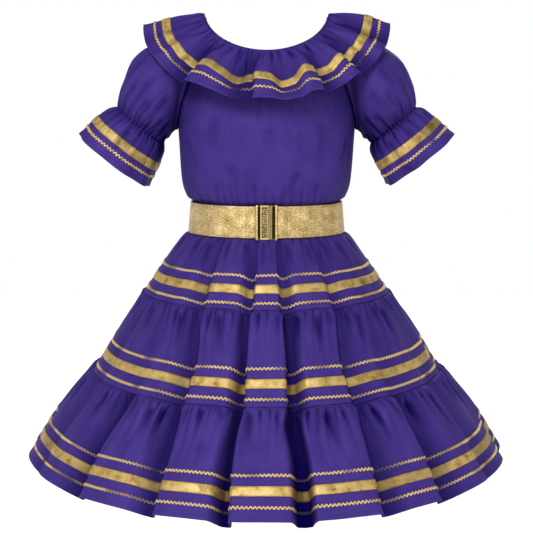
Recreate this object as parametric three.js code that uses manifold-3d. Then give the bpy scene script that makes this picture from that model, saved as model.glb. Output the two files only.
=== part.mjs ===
// Square dance outfit: a raglan blouse with a ruffle collar, a three-tier skirt and a belt.
// Millimetres, +Z up. The front faces -Y and the wearer's left side is +X.
// The origin is the middle of the waist, at half the height of the belt.
import * as THREE from 'three';
import Module from 'manifold-3d';

const wasm = await Module();
wasm.setup();
const { Manifold } = wasm;

const degree = Math.PI / 180;

// Thicknesses and clearances of the cloth and trims
const clothWall = 1.2;
const seamGap = 0.3;
const trimWall = 1.0;

// Trims measured along the cloth
const ribbonWidth = 16;
const rickrackWidth = 5.5;
const rickrackFromRibbon = 24;

// Belt: its outer surface leans out a little towards the lower edge
const beltHeight = 52;
const beltWall = 2.6;
const beltTop = { halfWidth: 128.6, halfDepth: 97.5 };
const beltBottom = { halfWidth: 133, halfDepth: 101.5 };

// Clasp: a wide plate on the wearer's right and a narrow one on the left, each with a slot and an
// end bar. A tongue of the narrow plate reaches behind the wide one and holds it.
const clasp = {
  halfWidth: 17.5,
  height: 57,
  wall: 2.4,
  meeting: 3.2,
  slotFrom: 10,
  slotTo: 14,
  slotHeight: 50,
  barRise: 0.8,
  tongueReach: 11,
  tongueHeight: 34,
  tongueWall: 1.2,
};

const indigo = { color: 0x3f2f86, roughness: 0.78, metalness: 0 };
const goldRibbon = { color: 0xc9a040, roughness: 0.38, metalness: 0.8 };
const goldBraid = { color: 0xcfa74c, roughness: 0.5, metalness: 0.6 };
const goldBelt = { color: 0xc8a752, roughness: 0.42, metalness: 0.75 };
const goldClasp = { color: 0xa88a3c, roughness: 0.35, metalness: 0.95 };

// Points

function along(from, to, share) {
  return from.clone().lerp(to, share);
}

function ellipsePoint(halfWidth, halfDepth, height, angle) {
  return new THREE.Vector3(halfWidth * Math.sin(angle), -halfDepth * Math.cos(angle), height);
}

// A grid of points holds rows from top to bottom, and each row runs with the angle.
// The normal of a point is the mean of the faces around it, and it is lengthened at folds so
// that a copy moved out by it keeps its distance from every face.
function gridNormals(rows, round) {
  const columns = rows[0].length;
  const faceColumns = round ? columns : columns - 1;
  const around = rows.map((row) => row.map(() => []));
  for (let r = 0; r + 1 < rows.length; r += 1) {
    for (let c = 0; c < faceColumns; c += 1) {
      const next = (c + 1) % columns;
      const down = rows[r + 1][next].clone().sub(rows[r][c]);
      const across = rows[r][next].clone().sub(rows[r + 1][c]);
      const normal = down.cross(across).normalize();
      around[r][c].push(normal);
      around[r][next].push(normal);
      around[r + 1][c].push(normal);
      around[r + 1][next].push(normal);
    }
  }
  const leastShare = 0.55;
  return around.map((row) => row.map((normals) => {
    const mean = new THREE.Vector3();
    normals.forEach((normal) => mean.add(normal));
    mean.normalize();
    const share = normals.reduce((sum, normal) => sum + normal.dot(mean), 0) / normals.length;
    return mean.divideScalar(Math.max(share, leastShare));
  }));
}

// A closed body between two copies of a grid, moved along its normals by near and far
function layer(rows, normals, near, far, round) {
  const columns = rows[0].length;
  const count = rows.length * columns;
  const positions = [];
  for (const distance of [far, near]) {
    rows.forEach((row, r) => row.forEach((point, c) => {
      const moved = point.clone().addScaledVector(normals[r][c], distance);
      positions.push(moved.x, moved.y, moved.z);
    }));
  }
  const outer = (r, c) => r * columns + (c % columns);
  const inner = (r, c) => count + outer(r, c);
  const faces = [];
  const quad = (a, b, c, d) => faces.push(a, b, c, a, c, d);
  const last = rows.length - 1;
  const faceColumns = round ? columns : columns - 1;
  for (let c = 0; c < faceColumns; c += 1) {
    for (let r = 0; r < last; r += 1) {
      quad(outer(r, c), outer(r + 1, c), outer(r + 1, c + 1), outer(r, c + 1));
      faces.push(inner(r, c), inner(r + 1, c + 1), inner(r + 1, c));
      faces.push(inner(r, c), inner(r, c + 1), inner(r + 1, c + 1));
    }
    quad(outer(0, c), outer(0, c + 1), inner(0, c + 1), inner(0, c));
    quad(outer(last, c), inner(last, c), inner(last, c + 1), outer(last, c + 1));
  }
  if (!round) {
    const end = columns - 1;
    for (let r = 0; r < last; r += 1) {
      quad(outer(r, 0), inner(r, 0), inner(r + 1, 0), outer(r + 1, 0));
      quad(outer(r, end), outer(r + 1, end), inner(r + 1, end), inner(r, end));
    }
  }
  const geometry = new THREE.BufferGeometry();
  geometry.setAttribute('position', new THREE.Float32BufferAttribute(positions, 3));
  geometry.setIndex(faces);
  return geometry;
}

function named(name, geometry, look) {
  const flat = geometry.index ? geometry.toNonIndexed() : geometry;
  flat.computeVertexNormals();
  const mesh = new THREE.Mesh(flat, new THREE.MeshStandardMaterial({ ...look, side: THREE.DoubleSide }));
  mesh.name = name;
  return mesh;
}

function roundLayer(rows, near, far) {
  return layer(rows, gridNormals(rows, true), near, far, true);
}

// The rows of an open panel hold one more column at each side, which only turns its edge square
// to the surface. Its edges end half a seam gap before the line where it meets its neighbour.
function panelLayer(widerRows, near, far) {
  const inside = (row) => row.slice(1, -1);
  const normals = gridNormals(widerRows, false).map(inside);
  const rows = widerRows.map((row) => {
    const points = inside(row).map((point) => point.clone());
    const end = points.length - 1;
    const pull = (at, towards) => {
      points[at].add(points[towards].clone().sub(points[at]).setLength(seamGap / 2));
    };
    pull(0, 1);
    pull(end, end - 1);
    return points;
  });
  return layer(rows, normals, near, far, false);
}

function roundWall(name, rows) {
  return named(name, roundLayer(rows, -clothWall, 0), indigo);
}

function panelWall(name, widerRows) {
  return named(name, panelLayer(widerRows, -clothWall, 0), indigo);
}

// A strip sewn on the band between two rows whose faces are flat. Its middle lies at a share of
// the band's length, and its width is measured along the cloth.
function strip(name, upper, lower, middleShare, width, look) {
  const halfShare = upper.map((point, c) => width / 2 / point.distanceTo(lower[c]));
  const mean = halfShare.reduce((sum, value) => sum + value, 0) / halfShare.length;
  const rows = [middleShare - mean, middleShare + mean].map(
    (share) => upper.map((point, c) => along(point, lower[c], share)),
  );
  return named(name, roundLayer(rows, seamGap, seamGap + trimWall), look);
}

function meanLength(upper, lower) {
  const lengths = upper.map((point, c) => point.distanceTo(lower[c]));
  return lengths.reduce((sum, value) => sum + value, 0) / lengths.length;
}

// Part of a ring of columns, with one more column at each side
function ringPart(rows, firstColumn, columnCount) {
  return rows.map((row) => {
    const points = [];
    for (let c = -1; c <= columnCount + 1; c += 1) {
      points.push(row[(firstColumn + c + row.length) % row.length]);
    }
    return points;
  });
}

// Every point is pushed in along the smooth form's normal by the dip of its column
function pressFolds(rows, dipOf) {
  const normals = gridNormals(rows, true);
  return rows.map((row, r) => row.map((point, c) => {
    const inwards = normals[r][c].clone().normalize().multiplyScalar(-dipOf(r, c));
    return point.clone().add(inwards);
  }));
}

// A row copied and enlarged from a point on the axis, so that every face between the two is flat
function enlarged(row, apexHeight, scale) {
  const apex = new THREE.Vector3(0, 0, apexHeight);
  return row.map((point) => point.clone().sub(apex).multiplyScalar(scale).add(apex));
}

// Columns of a folded ring

// Troughs by angle from the centre front in degrees, at the lower edge of each tier, with the
// depth at the hem. The lobe on the side that "over" names stands over the trough, and the other
// side is gentle.
const skirtFolds = [
  { tier1: -160, tier2: -161, tier3: -160, depth: 24, over: 1 },
  { tier1: -133, tier2: -134, tier3: -132, depth: 28, over: 1 },
  { tier1: -108, tier2: -109, tier3: -108, depth: 22, over: -1 },
  { tier1: -84, tier2: -86, tier3: -86, depth: 19, over: 1 },
  { tier1: -64, tier2: -66, tier3: -67, depth: 22, over: 1 },
  { tier1: -48, tier2: -45, tier3: -47.5, depth: 27, over: 1 },
  { tier1: -31, tier2: -27, tier3: -26, depth: 25, over: 1 },
  { tier1: -6.4, tier2: -7.2, tier3: -8.4, depth: 34, over: 1 },
  { tier1: 7, tier2: 9, tier3: 9.4, depth: 36, over: -1 },
  { tier1: 32.5, tier2: 28.3, tier3: 27, depth: 22, over: -1 },
  { tier1: 48, tier2: 43, tier3: 43, depth: 26, over: -1 },
  { tier1: 64, tier2: 62, tier3: 62, depth: 20, over: -1 },
  { tier1: 84, tier2: 82, tier3: 82, depth: 24, over: -1 },
  { tier1: 107, tier2: 106, tier3: 105, depth: 21, over: 1 },
  { tier1: 131, tier2: 130, tier3: 131, depth: 27, over: -1 },
  { tier1: 156, tier2: 157, tier3: 156, depth: 23, over: -1 },
];

const collarFolds = [
  { at: -160, depth: 8, over: 1 },
  { at: -130, depth: 10, over: 1 },
  { at: -103, depth: 8, over: 1 },
  { at: -75, depth: 5, over: 1 },
  { at: -42, depth: 10, over: 1 },
  { at: -8, depth: 11, over: 1 },
  { at: 28.6, depth: 10, over: -1 },
  { at: 50.7, depth: 10, over: -1 },
  { at: 77, depth: 7, over: -1 },
  { at: 106, depth: 8, over: -1 },
  { at: 136, depth: 10, over: -1 },
  { at: 168, depth: 9, over: -1 },
];

const overShare = 0.16;
const gentleShare = 0.34;

// Three columns a lobe: the trough, and the two places where the crest begins and ends
function foldColumns(folds, angleOf) {
  const columns = [];
  folds.forEach((fold, index) => {
    const next = folds[(index + 1) % folds.length];
    const start = angleOf(fold);
    const width = (angleOf(next) - start + 360) % 360;
    const first = fold.over > 0 ? overShare : gentleShare;
    const second = 1 - (next.over < 0 ? overShare : gentleShare);
    columns.push({ angle: start * degree, depth: fold.depth });
    columns.push({ angle: (start + first * width) * degree, depth: 0 });
    columns.push({ angle: (start + second * width) * degree, depth: 0 });
  });
  return columns;
}

// Skirt

// Sections of each tier below its upper edge: height, half width, half depth, and the share of
// the fold depth. The bottom is the last section enlarged, which makes the zone of the trims,
// and "trims" is where the ribbon's middle lies in it.
const tiers = [
  {
    name: 'tier_1',
    angleOf: (fold) => fold.tier1,
    sections: [
      { height: -34.5, halfWidth: 142, halfDepth: 112, fold: 0.08 },
      { height: -70, halfWidth: 170.5, halfDepth: 158.6, fold: 0.26 },
    ],
    bottom: { height: -126, halfWidth: 208 },
    trims: 0.48,
  },
  {
    name: 'tier_2',
    angleOf: (fold) => fold.tier2,
    sections: [
      { height: -132, halfWidth: 215.5, halfDepth: 202, fold: 0.4 },
      { height: -190, halfWidth: 255, halfDepth: 246, fold: 0.55 },
    ],
    bottom: { height: -256, halfWidth: 296 },
    trims: 0.54,
  },
  {
    name: 'tier_3',
    angleOf: (fold) => fold.tier3,
    sections: [
      { height: -264, halfWidth: 309.5, halfDepth: 298, fold: 0.7 },
      { height: -330, halfWidth: 361.5, halfDepth: 338, fold: 0.88 },
    ],
    bottom: { height: -399.5, halfWidth: 408 },
    trims: 0.46,
  },
];
const waistSeam = { height: -26.3, halfWidth: 129, halfDepth: 97.2 };

// The half of the ring between the columns nearest to the two side seams
function sideColumns(columns) {
  const nearest = (angle) => columns.reduce((best, column, index) => {
    const away = Math.abs(Math.atan2(Math.sin(column.angle - angle), Math.cos(column.angle - angle)));
    return away < best.away ? { away, index } : best;
  }, { away: Infinity, index: 0 }).index;
  return { right: nearest(-90 * degree), left: nearest(90 * degree) };
}

// A tier hangs from the lower edge of what is above it, and its folds start at the same columns
function tierMeshes(tier, edgeAbove, columnsAbove) {
  const columns = foldColumns(skirtFolds, tier.angleOf);
  const smooth = tier.sections.map((section, index) => (index ? columns : columnsAbove).map(
    (column) => ellipsePoint(section.halfWidth, section.halfDepth, section.height, column.angle),
  ));
  const folded = pressFolds(smooth, (r, c) => columns[c].depth * tier.sections[r].fold);
  const top = edgeAbove.map((point, c) => {
    const down = folded[0][c].clone().sub(point).setLength(seamGap);
    return point.clone().add(down);
  });
  const start = tier.sections[tier.sections.length - 1];
  const scale = tier.bottom.halfWidth / start.halfWidth;
  const rise = (start.height - tier.bottom.height) / (scale - 1);
  const upper = folded[folded.length - 1];
  const lower = enlarged(upper, start.height + rise, scale);
  const rows = [top, ...folded, lower];

  const sides = sideColumns(columns);
  const frontCount = sides.left - sides.right;
  const backCount = columns.length - frontCount;
  const rickrackShare = rickrackFromRibbon / meanLength(upper, lower);
  const meshes = [
    panelWall(`${tier.name}_front`, ringPart(rows, sides.right, frontCount)),
    panelWall(`${tier.name}_back`, ringPart(rows, sides.left, backCount)),
    strip(`${tier.name}_ribbon`, upper, lower, tier.trims, ribbonWidth, goldRibbon),
    strip(`${tier.name}_rickrack_upper`, upper, lower, tier.trims - rickrackShare, rickrackWidth, goldBraid),
    strip(`${tier.name}_rickrack_lower`, upper, lower, tier.trims + rickrackShare, rickrackWidth, goldBraid),
  ];
  return { meshes, columns, lowerEdge: lower };
}

function skirtMeshes() {
  let columns = foldColumns(skirtFolds, tiers[0].angleOf);
  let edge = columns.map(
    (column) => ellipsePoint(waistSeam.halfWidth, waistSeam.halfDepth, waistSeam.height, column.angle),
  );
  const meshes = [];
  tiers.forEach((tier) => {
    const made = tierMeshes(tier, edge, columns);
    meshes.push(...made.meshes);
    columns = made.columns;
    edge = made.lowerEdge;
  });
  return meshes;
}

function roundRows(sections, columnCount) {
  return sections.map((section) => {
    const row = [];
    for (let c = 0; c < columnCount; c += 1) {
      const angle = (c / columnCount) * 2 * Math.PI;
      row.push(ellipsePoint(section.halfWidth, section.halfDepth, section.height, angle));
    }
    return row;
  });
}

const waistbandColumns = 28;

function waistbandMesh() {
  const sections = [
    { height: 26, halfWidth: 124.8, halfDepth: 93.7 },
    { height: -26, halfWidth: 128.9, halfDepth: 97.4 },
  ];
  return roundWall('skirt_waistband', roundRows(sections, waistbandColumns));
}

// Blouse body

// The neckline is an ellipse from above, and it dips at the front and at the back
const neck = { halfWidth: 104, halfDepth: 80, sideHeight: 331, dip: 62, dipPower: 1.2 };
const neckCornerAngle = 58;

function neckPoint(angle) {
  const height = neck.sideHeight - neck.dip * Math.abs(Math.cos(angle)) ** neck.dipPower;
  return ellipsePoint(neck.halfWidth, neck.halfDepth, height, angle);
}

// Below the underarm: height, half width, half depth of each section, from the tail up
const bodySections = [
  { height: -84, halfWidth: 120, halfDepth: 88 },
  { height: -24, halfWidth: 125.4, halfDepth: 94 },
  { height: 26.5, halfWidth: 121.9, halfDepth: 90.8 },
  { height: 29.5, halfWidth: 128, halfDepth: 96.5 },
  { height: 36, halfWidth: 135, halfDepth: 103.5 },
  { height: 60, halfWidth: 142, halfDepth: 110 },
];
const chest = { height: 146, halfWidth: 148.5, halfDepth: 115 };

// Above the underarm: share of the way to the neckline, the angle of the raglan seam, and how
// far the body stands out from the straight way
const raglanSections = [
  { share: 0, seamAngle: 90, outwards: 0 },
  { share: 0.12, seamAngle: 74, outwards: 8 },
  { share: 0.3, seamAngle: 66, outwards: 16 },
  { share: 0.52, seamAngle: 61, outwards: 19 },
  { share: 0.76, seamAngle: 59, outwards: 12 },
  { share: 1, seamAngle: neckCornerAngle, outwards: 0 },
];

const frontShare = 0.5;

function raglanPoint(section, angle) {
  const chestPoint = ellipsePoint(chest.halfWidth, chest.halfDepth, chest.height, angle);
  const point = along(chestPoint, neckPoint(angle), section.share);
  point.x += section.outwards * Math.sin(angle);
  point.y -= section.outwards * frontShare * Math.cos(angle);
  return point;
}

const panelColumns = 10;

// Rows run from the neck down, and "facing" is 0 for the front and 180 for the back
function bodyRows(facing) {
  const rows = [];
  const rowOf = (pointAt, seamAngle) => {
    const row = [];
    for (let c = -1; c <= panelColumns + 1; c += 1) {
      row.push(pointAt((facing + ((2 * c) / panelColumns - 1) * seamAngle) * degree));
    }
    return row;
  };
  [...raglanSections].reverse().forEach((section) => {
    rows.push(rowOf((angle) => raglanPoint(section, angle), section.seamAngle));
  });
  [...bodySections].reverse().forEach((section) => {
    const pointAt = (angle) => ellipsePoint(section.halfWidth, section.halfDepth, section.height, angle);
    rows.push(rowOf(pointAt, 90));
  });
  return rows;
}

// Sleeves

// Gather under the puff and hem of the flounce, for the wearer's left sleeve. Their planes lie
// square to the sleeve's axis.
const gather = { x: 212, z: 154, halfWidth: 48.5, halfDepth: 46 };
const flounceTop = { along: 13, scale: 1.2 };
const sleeveHem = { along: 75, scale: 1.53 };
const sleeveAxis = new THREE.Vector3(0.616, 0, -0.787).normalize();
const sleeveOuter = new THREE.Vector3(0.787, 0, 0.616).normalize();
const forwards = new THREE.Vector3(0, -1, 0);
const flounceDepth = 8;
const flounceRibbonShare = 0.4;
const sleeveRickrackFromRibbon = 19;

// Sections of the puff: share of the way from the raglan seam to the gather, and share of the
// greatest fullness
const puffSections = [
  { share: 0, fullness: 0 },
  { share: 0.12, fullness: 0.1 },
  { share: 0.34, fullness: 0.74 },
  { share: 0.6, fullness: 1 },
  { share: 0.84, fullness: 0.6 },
  { share: 1, fullness: 0 },
];
const puffFullness = { top: 36, sides: 12 };

// The loop where the sleeve meets the body and the neckline, from the neck's side point over the
// back to the underarm and up the front, for the wearer's left side
function sleeveLoop() {
  const front = [];
  const halfNeck = (90 + neckCornerAngle) / 2;
  front.push(neckPoint(halfNeck * degree));
  [...raglanSections].reverse().forEach((section) => {
    front.push(raglanPoint(section, section.seamAngle * degree));
  });
  const underarm = front.pop();
  const back = front.map((point) => new THREE.Vector3(point.x, -point.y, point.z));
  const top = neckPoint(90 * degree);
  const loop = [top, ...back, underarm, ...front.reverse()];
  // The seam gap is taken from the sleeve's side, away from the body
  return loop.map((point) => new THREE.Vector3(point.x + seamGap, point.y, point.z));
}

function sleeveRing(centre, halfWidth, halfDepth, columnCount) {
  const ring = [];
  for (let c = 0; c < columnCount; c += 1) {
    const angle = (c / columnCount) * 2 * Math.PI;
    const point = centre.clone();
    point.addScaledVector(sleeveOuter, halfWidth * Math.cos(angle));
    point.addScaledVector(forwards, -halfDepth * Math.sin(angle));
    ring.push(point);
  }
  return ring;
}

function sleeveRows() {
  const loop = sleeveLoop();
  const columnCount = loop.length;
  const gatherCentre = new THREE.Vector3(gather.x, 0, gather.z);
  const gatherRing = sleeveRing(gatherCentre, gather.halfWidth, gather.halfDepth, columnCount);
  const puff = puffSections.map((section) => loop.map((point, c) => {
    const angle = (c / columnCount) * 2 * Math.PI;
    const outwards = sleeveOuter.clone().multiplyScalar(Math.cos(angle));
    outwards.addScaledVector(forwards, -Math.sin(angle));
    const fullness = (puffFullness.top * (1 + Math.cos(angle))) / 2
      + puffFullness.sides * Math.sin(angle) ** 2;
    const between = along(point, gatherRing[c], section.share);
    return between.addScaledVector(outwards, fullness * section.fullness);
  }));
  // The flounce is a cone whose alternate columns are pressed in
  const ringAt = (size) => sleeveRing(
    gatherCentre.clone().addScaledVector(sleeveAxis, size.along),
    gather.halfWidth * size.scale,
    gather.halfDepth * size.scale,
    columnCount,
  );
  const cone = [ringAt(flounceTop), ringAt(sleeveHem)];
  const scaleShare = [flounceTop.scale / sleeveHem.scale, 1];
  const flounce = pressFolds(cone, (r, c) => (c % 2) * flounceDepth * scaleShare[r]);
  return { rows: [...puff, ...flounce], flounce };
}

// The wearer's right side mirrors the left one, with the order of the columns turned about
function mirrored(rows) {
  return rows.map((row) => row.map((point) => new THREE.Vector3(-point.x, point.y, point.z)).reverse());
}

function sleeveMeshes(side) {
  const { rows, flounce } = sleeveRows();
  const placed = side === 'left' ? rows : mirrored(rows);
  const [upper, lower] = side === 'left' ? flounce : mirrored(flounce);
  const rickrackShare = flounceRibbonShare + sleeveRickrackFromRibbon / meanLength(upper, lower);
  return [
    roundWall(`sleeve_${side}`, placed),
    strip(`sleeve_ribbon_${side}`, upper, lower, flounceRibbonShare, ribbonWidth, goldRibbon),
    strip(`sleeve_rickrack_${side}`, upper, lower, rickrackShare, rickrackWidth, goldBraid),
  ];
}

// Neck casing and collar

const casing = { height: 8, wall: 2 };
const collarStand = 4;
const collarTrimZone = { halfWidth: 140, scale: 205 / 140, halfDepth: 103, apexHeight: 370 };
const collarEdge = { sideHeight: 321, dip: 119 };
const collarRibbonShare = 0.42;
const collarRickrackFromRibbon = 21;

// The casing shares the columns of the body's and the sleeves' upper edges
function neckAngles() {
  const angles = [];
  for (const facing of [0, 180]) {
    for (let c = 0; c < panelColumns; c += 1) {
      angles.push(facing + ((2 * c) / panelColumns - 1) * neckCornerAngle);
    }
    for (const share of [0, 0.25, 0.5, 0.75]) {
      angles.push(facing + neckCornerAngle + share * (180 - 2 * neckCornerAngle));
    }
  }
  return angles.map((angle) => angle * degree);
}

function casingMesh() {
  const rows = [casing.height + seamGap, seamGap].map((rise) => neckAngles().map((angle) => {
    const point = neckPoint(angle);
    point.z += rise;
    return point;
  }));
  return named('neck_casing', roundLayer(rows, -casing.wall, 0), indigo);
}

function collarMeshes() {
  const columns = foldColumns(collarFolds, (fold) => fold.at);
  const seam = columns.map((column) => {
    const point = neckPoint(column.angle);
    const outwards = new THREE.Vector3(Math.sin(column.angle), -Math.cos(column.angle), 0);
    point.addScaledVector(outwards, collarStand);
    point.z += casing.height / 2;
    return point;
  });
  const zone = columns.map((column) => {
    const edgeHeight = collarEdge.sideHeight - collarEdge.dip * Math.abs(Math.cos(column.angle));
    const fall = (edgeHeight - collarTrimZone.apexHeight) / collarTrimZone.scale;
    const height = collarTrimZone.apexHeight + fall;
    return ellipsePoint(collarTrimZone.halfWidth, collarTrimZone.halfDepth, height, column.angle);
  });
  const edge = enlarged(zone, collarTrimZone.apexHeight, collarTrimZone.scale);
  const folded = pressFolds([zone, edge], (r, c) => columns[c].depth / (r ? 1 : collarTrimZone.scale));
  const [upper, lower] = folded;
  const rickrackShare = collarRibbonShare + collarRickrackFromRibbon / meanLength(upper, lower);
  return [
    roundWall('collar_ruffle', [seam, upper, lower]),
    strip('collar_ribbon', upper, lower, collarRibbonShare, ribbonWidth, goldRibbon),
    strip('collar_rickrack', upper, lower, rickrackShare, rickrackWidth, goldBraid),
  ];
}

// Belt and clasp

function beltMesh() {
  const columnCount = 28;
  const endAngle = Math.asin((clasp.slotTo - 0.5) / beltBottom.halfWidth);
  const rows = [
    { ...beltTop, height: beltHeight / 2 },
    { ...beltBottom, height: -beltHeight / 2 },
  ].map((section) => {
    const row = [];
    for (let c = -1; c <= columnCount + 1; c += 1) {
      const angle = endAngle + (c / columnCount) * 2 * (Math.PI - endAngle);
      row.push(ellipsePoint(section.halfWidth, section.halfDepth, section.height, angle));
    }
    return row;
  });
  return named('belt_band', panelLayer(rows, -beltWall, 0), goldBelt);
}

function block(fromX, toX, fromY, toY, height) {
  return Manifold.cube([toX - fromX, toY - fromY, height]).translate([fromX, fromY, -height / 2]);
}

// A plate between its meeting edge and its end, with the end bar raised and the slot cut.
// Its back lies at y = 0 and its front faces -y.
function claspPlate(fromX, toX, side) {
  const slotEdges = [side * clasp.slotFrom, side * clasp.slotTo].sort((a, b) => a - b);
  const barEdges = [side * clasp.slotTo, side * clasp.halfWidth].sort((a, b) => a - b);
  const plate = block(fromX, toX, -clasp.wall, 0, clasp.height);
  const bar = block(...barEdges, -clasp.wall - clasp.barRise, 0, clasp.height);
  const slot = block(...slotEdges, -2 * clasp.wall, clasp.wall, clasp.slotHeight);
  return Manifold.union([plate, bar]).subtract(slot);
}

// The plates stand on the belt just in front of its ends, and they lean as it does
function placedOnBelt(name, solid) {
  const { numProp, vertProperties, triVerts } = solid.getMesh();
  const geometry = new THREE.BufferGeometry();
  geometry.setAttribute('position', new THREE.Float32BufferAttribute(vertProperties, numProp));
  geometry.setIndex([...triVerts]);
  const mesh = named(name, geometry, goldClasp);
  const halfWidth = (beltTop.halfWidth + beltBottom.halfWidth) / 2;
  const halfDepth = (beltTop.halfDepth + beltBottom.halfDepth) / 2;
  const endDepth = halfDepth * Math.sqrt(1 - (clasp.slotTo / halfWidth) ** 2);
  mesh.rotation.x = -Math.atan2(beltBottom.halfDepth - beltTop.halfDepth, beltHeight);
  mesh.position.y = -endDepth - 2 * seamGap;
  return mesh;
}

function claspMeshes() {
  const narrow = claspPlate(clasp.meeting + seamGap, clasp.halfWidth, 1);
  const behind = seamGap;
  const root = clasp.meeting + seamGap + clasp.wall;
  const tongue = block(
    clasp.meeting - clasp.tongueReach,
    root,
    behind,
    behind + clasp.tongueWall,
    clasp.tongueHeight,
  );
  const link = block(clasp.meeting + seamGap, root, -clasp.wall / 2, behind + clasp.tongueWall, clasp.tongueHeight);
  return [
    placedOnBelt('clasp_left', Manifold.union([narrow, tongue, link])),
    placedOnBelt('clasp_right', claspPlate(-clasp.halfWidth, clasp.meeting, -1)),
  ];
}

const outfit = new THREE.Group();
outfit.name = 'square_dance_outfit';
outfit.add(panelWall('bodice_front', bodyRows(0)));
outfit.add(panelWall('bodice_back', bodyRows(180)));
outfit.add(...sleeveMeshes('left'));
outfit.add(...sleeveMeshes('right'));
outfit.add(casingMesh());
outfit.add(...collarMeshes());
outfit.add(waistbandMesh());
outfit.add(...skirtMeshes());
outfit.add(beltMesh());
outfit.add(...claspMeshes());

export default outfit;
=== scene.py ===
# Square dance outfit: gathered blouse, tiered skirt and gold belt in their worn form.
# Points are worked out in millimetres and turned into metres when a mesh is made.
# +Z is up, the front faces -Y, and the wearer's left side is +X.
import math

import bmesh
import bpy
import numpy as np
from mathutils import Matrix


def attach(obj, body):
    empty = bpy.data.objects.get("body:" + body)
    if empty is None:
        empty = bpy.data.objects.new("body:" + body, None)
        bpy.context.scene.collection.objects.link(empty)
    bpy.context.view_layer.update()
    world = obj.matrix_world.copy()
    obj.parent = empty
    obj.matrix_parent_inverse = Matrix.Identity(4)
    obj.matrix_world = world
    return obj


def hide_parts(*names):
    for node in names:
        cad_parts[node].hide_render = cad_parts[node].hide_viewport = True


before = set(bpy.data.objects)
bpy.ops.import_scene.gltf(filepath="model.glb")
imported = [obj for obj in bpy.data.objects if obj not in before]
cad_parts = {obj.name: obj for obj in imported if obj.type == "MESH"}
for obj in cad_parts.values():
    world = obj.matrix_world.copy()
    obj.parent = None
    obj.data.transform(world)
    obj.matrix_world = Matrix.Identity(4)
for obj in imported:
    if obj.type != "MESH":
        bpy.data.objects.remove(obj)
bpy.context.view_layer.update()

METRE = 0.001
BODY = "root"
TURN = 2 * math.pi
CLOTH_WALL = 1.0
SEAM_GAP = 0.3
BELT_HEIGHT = 52


# Camera

camera_data = bpy.data.cameras.new("camera")
camera_data.sensor_width = 36
camera_data.lens = 79.86
camera = bpy.data.objects.new("camera", camera_data)
camera.location = (0, -2.0, 0.219)
camera.rotation_euler = (math.radians(81.304), 0, 0)
bpy.context.scene.collection.objects.link(camera)
bpy.context.scene.camera = camera
bpy.context.scene.view_settings.view_transform = "Standard"


# Curves and noise

def smooth(share):
    """A soft step from 0 to 1"""
    share = np.clip(share, 0.0, 1.0)
    return share * share * (3 - 2 * share)


def mound(away, width):
    """1 at 0, and fading away on both sides"""
    return np.exp(-((away / width) ** 2))


def crowded(even, density):
    """Shares from 0 to 1 that lie closer together at both ends"""
    return even - density * np.sin(TURN * even) / TURN


def curve(places, values, at):
    """Values at some places on a smooth curve that doesn't overshoot its points"""
    places = np.asarray(places, float)
    values = np.asarray(values, float)
    at = np.asarray(at, float)
    steps = np.diff(places)
    tail = (1,) * (values.ndim - 1)
    slopes = np.diff(values, axis=0) / steps.reshape((-1,) + tail)
    before, after = slopes[:-1], slopes[1:]
    total = np.where(before + after == 0, 1, before + after)
    inner = np.where(before * after > 0, 2 * before * after / total, 0)
    tangents = np.concatenate([slopes[:1], inner, slopes[-1:]])
    index = np.clip(np.searchsorted(places, at, side="right") - 1, 0, len(steps) - 1)
    width = steps[index].reshape(at.shape + tail)
    t = (at - places[index]).reshape(at.shape + tail) / width
    start = (2 * t**3 - 3 * t**2 + 1) * values[index]
    start = start + (t**3 - 2 * t**2 + t) * width * tangents[index]
    end = (3 * t**2 - 2 * t**3) * values[index + 1]
    return start + end + (t**3 - t**2) * width * tangents[index + 1]


def lattice(table, across, down):
    """Smooth values between the points of a table that is closed from side to side"""
    cells_down, cells_across = table.shape[0] - 2, table.shape[1]
    x = across * cells_across
    y = np.clip(down, 0, 1) * cells_down
    column = np.floor(x).astype(int)
    row = np.floor(y).astype(int)
    x_share = smooth(x - column)
    y_share = smooth(y - row)
    left, right = column % cells_across, (column + 1) % cells_across
    upper = table[row, left] * (1 - x_share) + table[row, right] * x_share
    lower = table[row + 1, left] * (1 - x_share) + table[row + 1, right] * x_share
    return upper * (1 - y_share) + lower * y_share


def noise(seed, across, down, cells_across, cells_down):
    """Soft random waves from -1 to 1"""
    table = np.random.default_rng(seed).uniform(-1, 1, (cells_down + 2, cells_across))
    return lattice(table, across, down)


def ripples(seed, across, down, cells_across, cells_down):
    """Gathers from 0 to 1: round ridges of uneven height and width with narrow valleys"""
    cells_across += cells_across % 2
    table = np.random.default_rng(seed).uniform(0.35, 1, (cells_down + 2, cells_across))
    table[:, ::2] *= -1
    uneven = noise(seed + 1, across, down, max(cells_across // 3, 2), cells_down)
    return np.abs(lattice(table, across + 0.38 * uneven / cells_across, down))


def gathered(layers, share, share_down):
    """Relief of sets of gathers and the painted shade in their valleys. Each has its seed, its ridges
    around, its cells down, its height and how strong it is at each place."""
    relief, painted_shade = 0, 0
    for seed, count, cells, height, strength in layers:
        ridge = ripples(seed, share, share_down, count, cells)
        relief = relief + height * (ridge - 0.5) * strength
        painted_shade = painted_shade + (1 - smooth(ridge / 0.5)) * np.minimum(strength, 1)
    return relief, painted_shade


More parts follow.
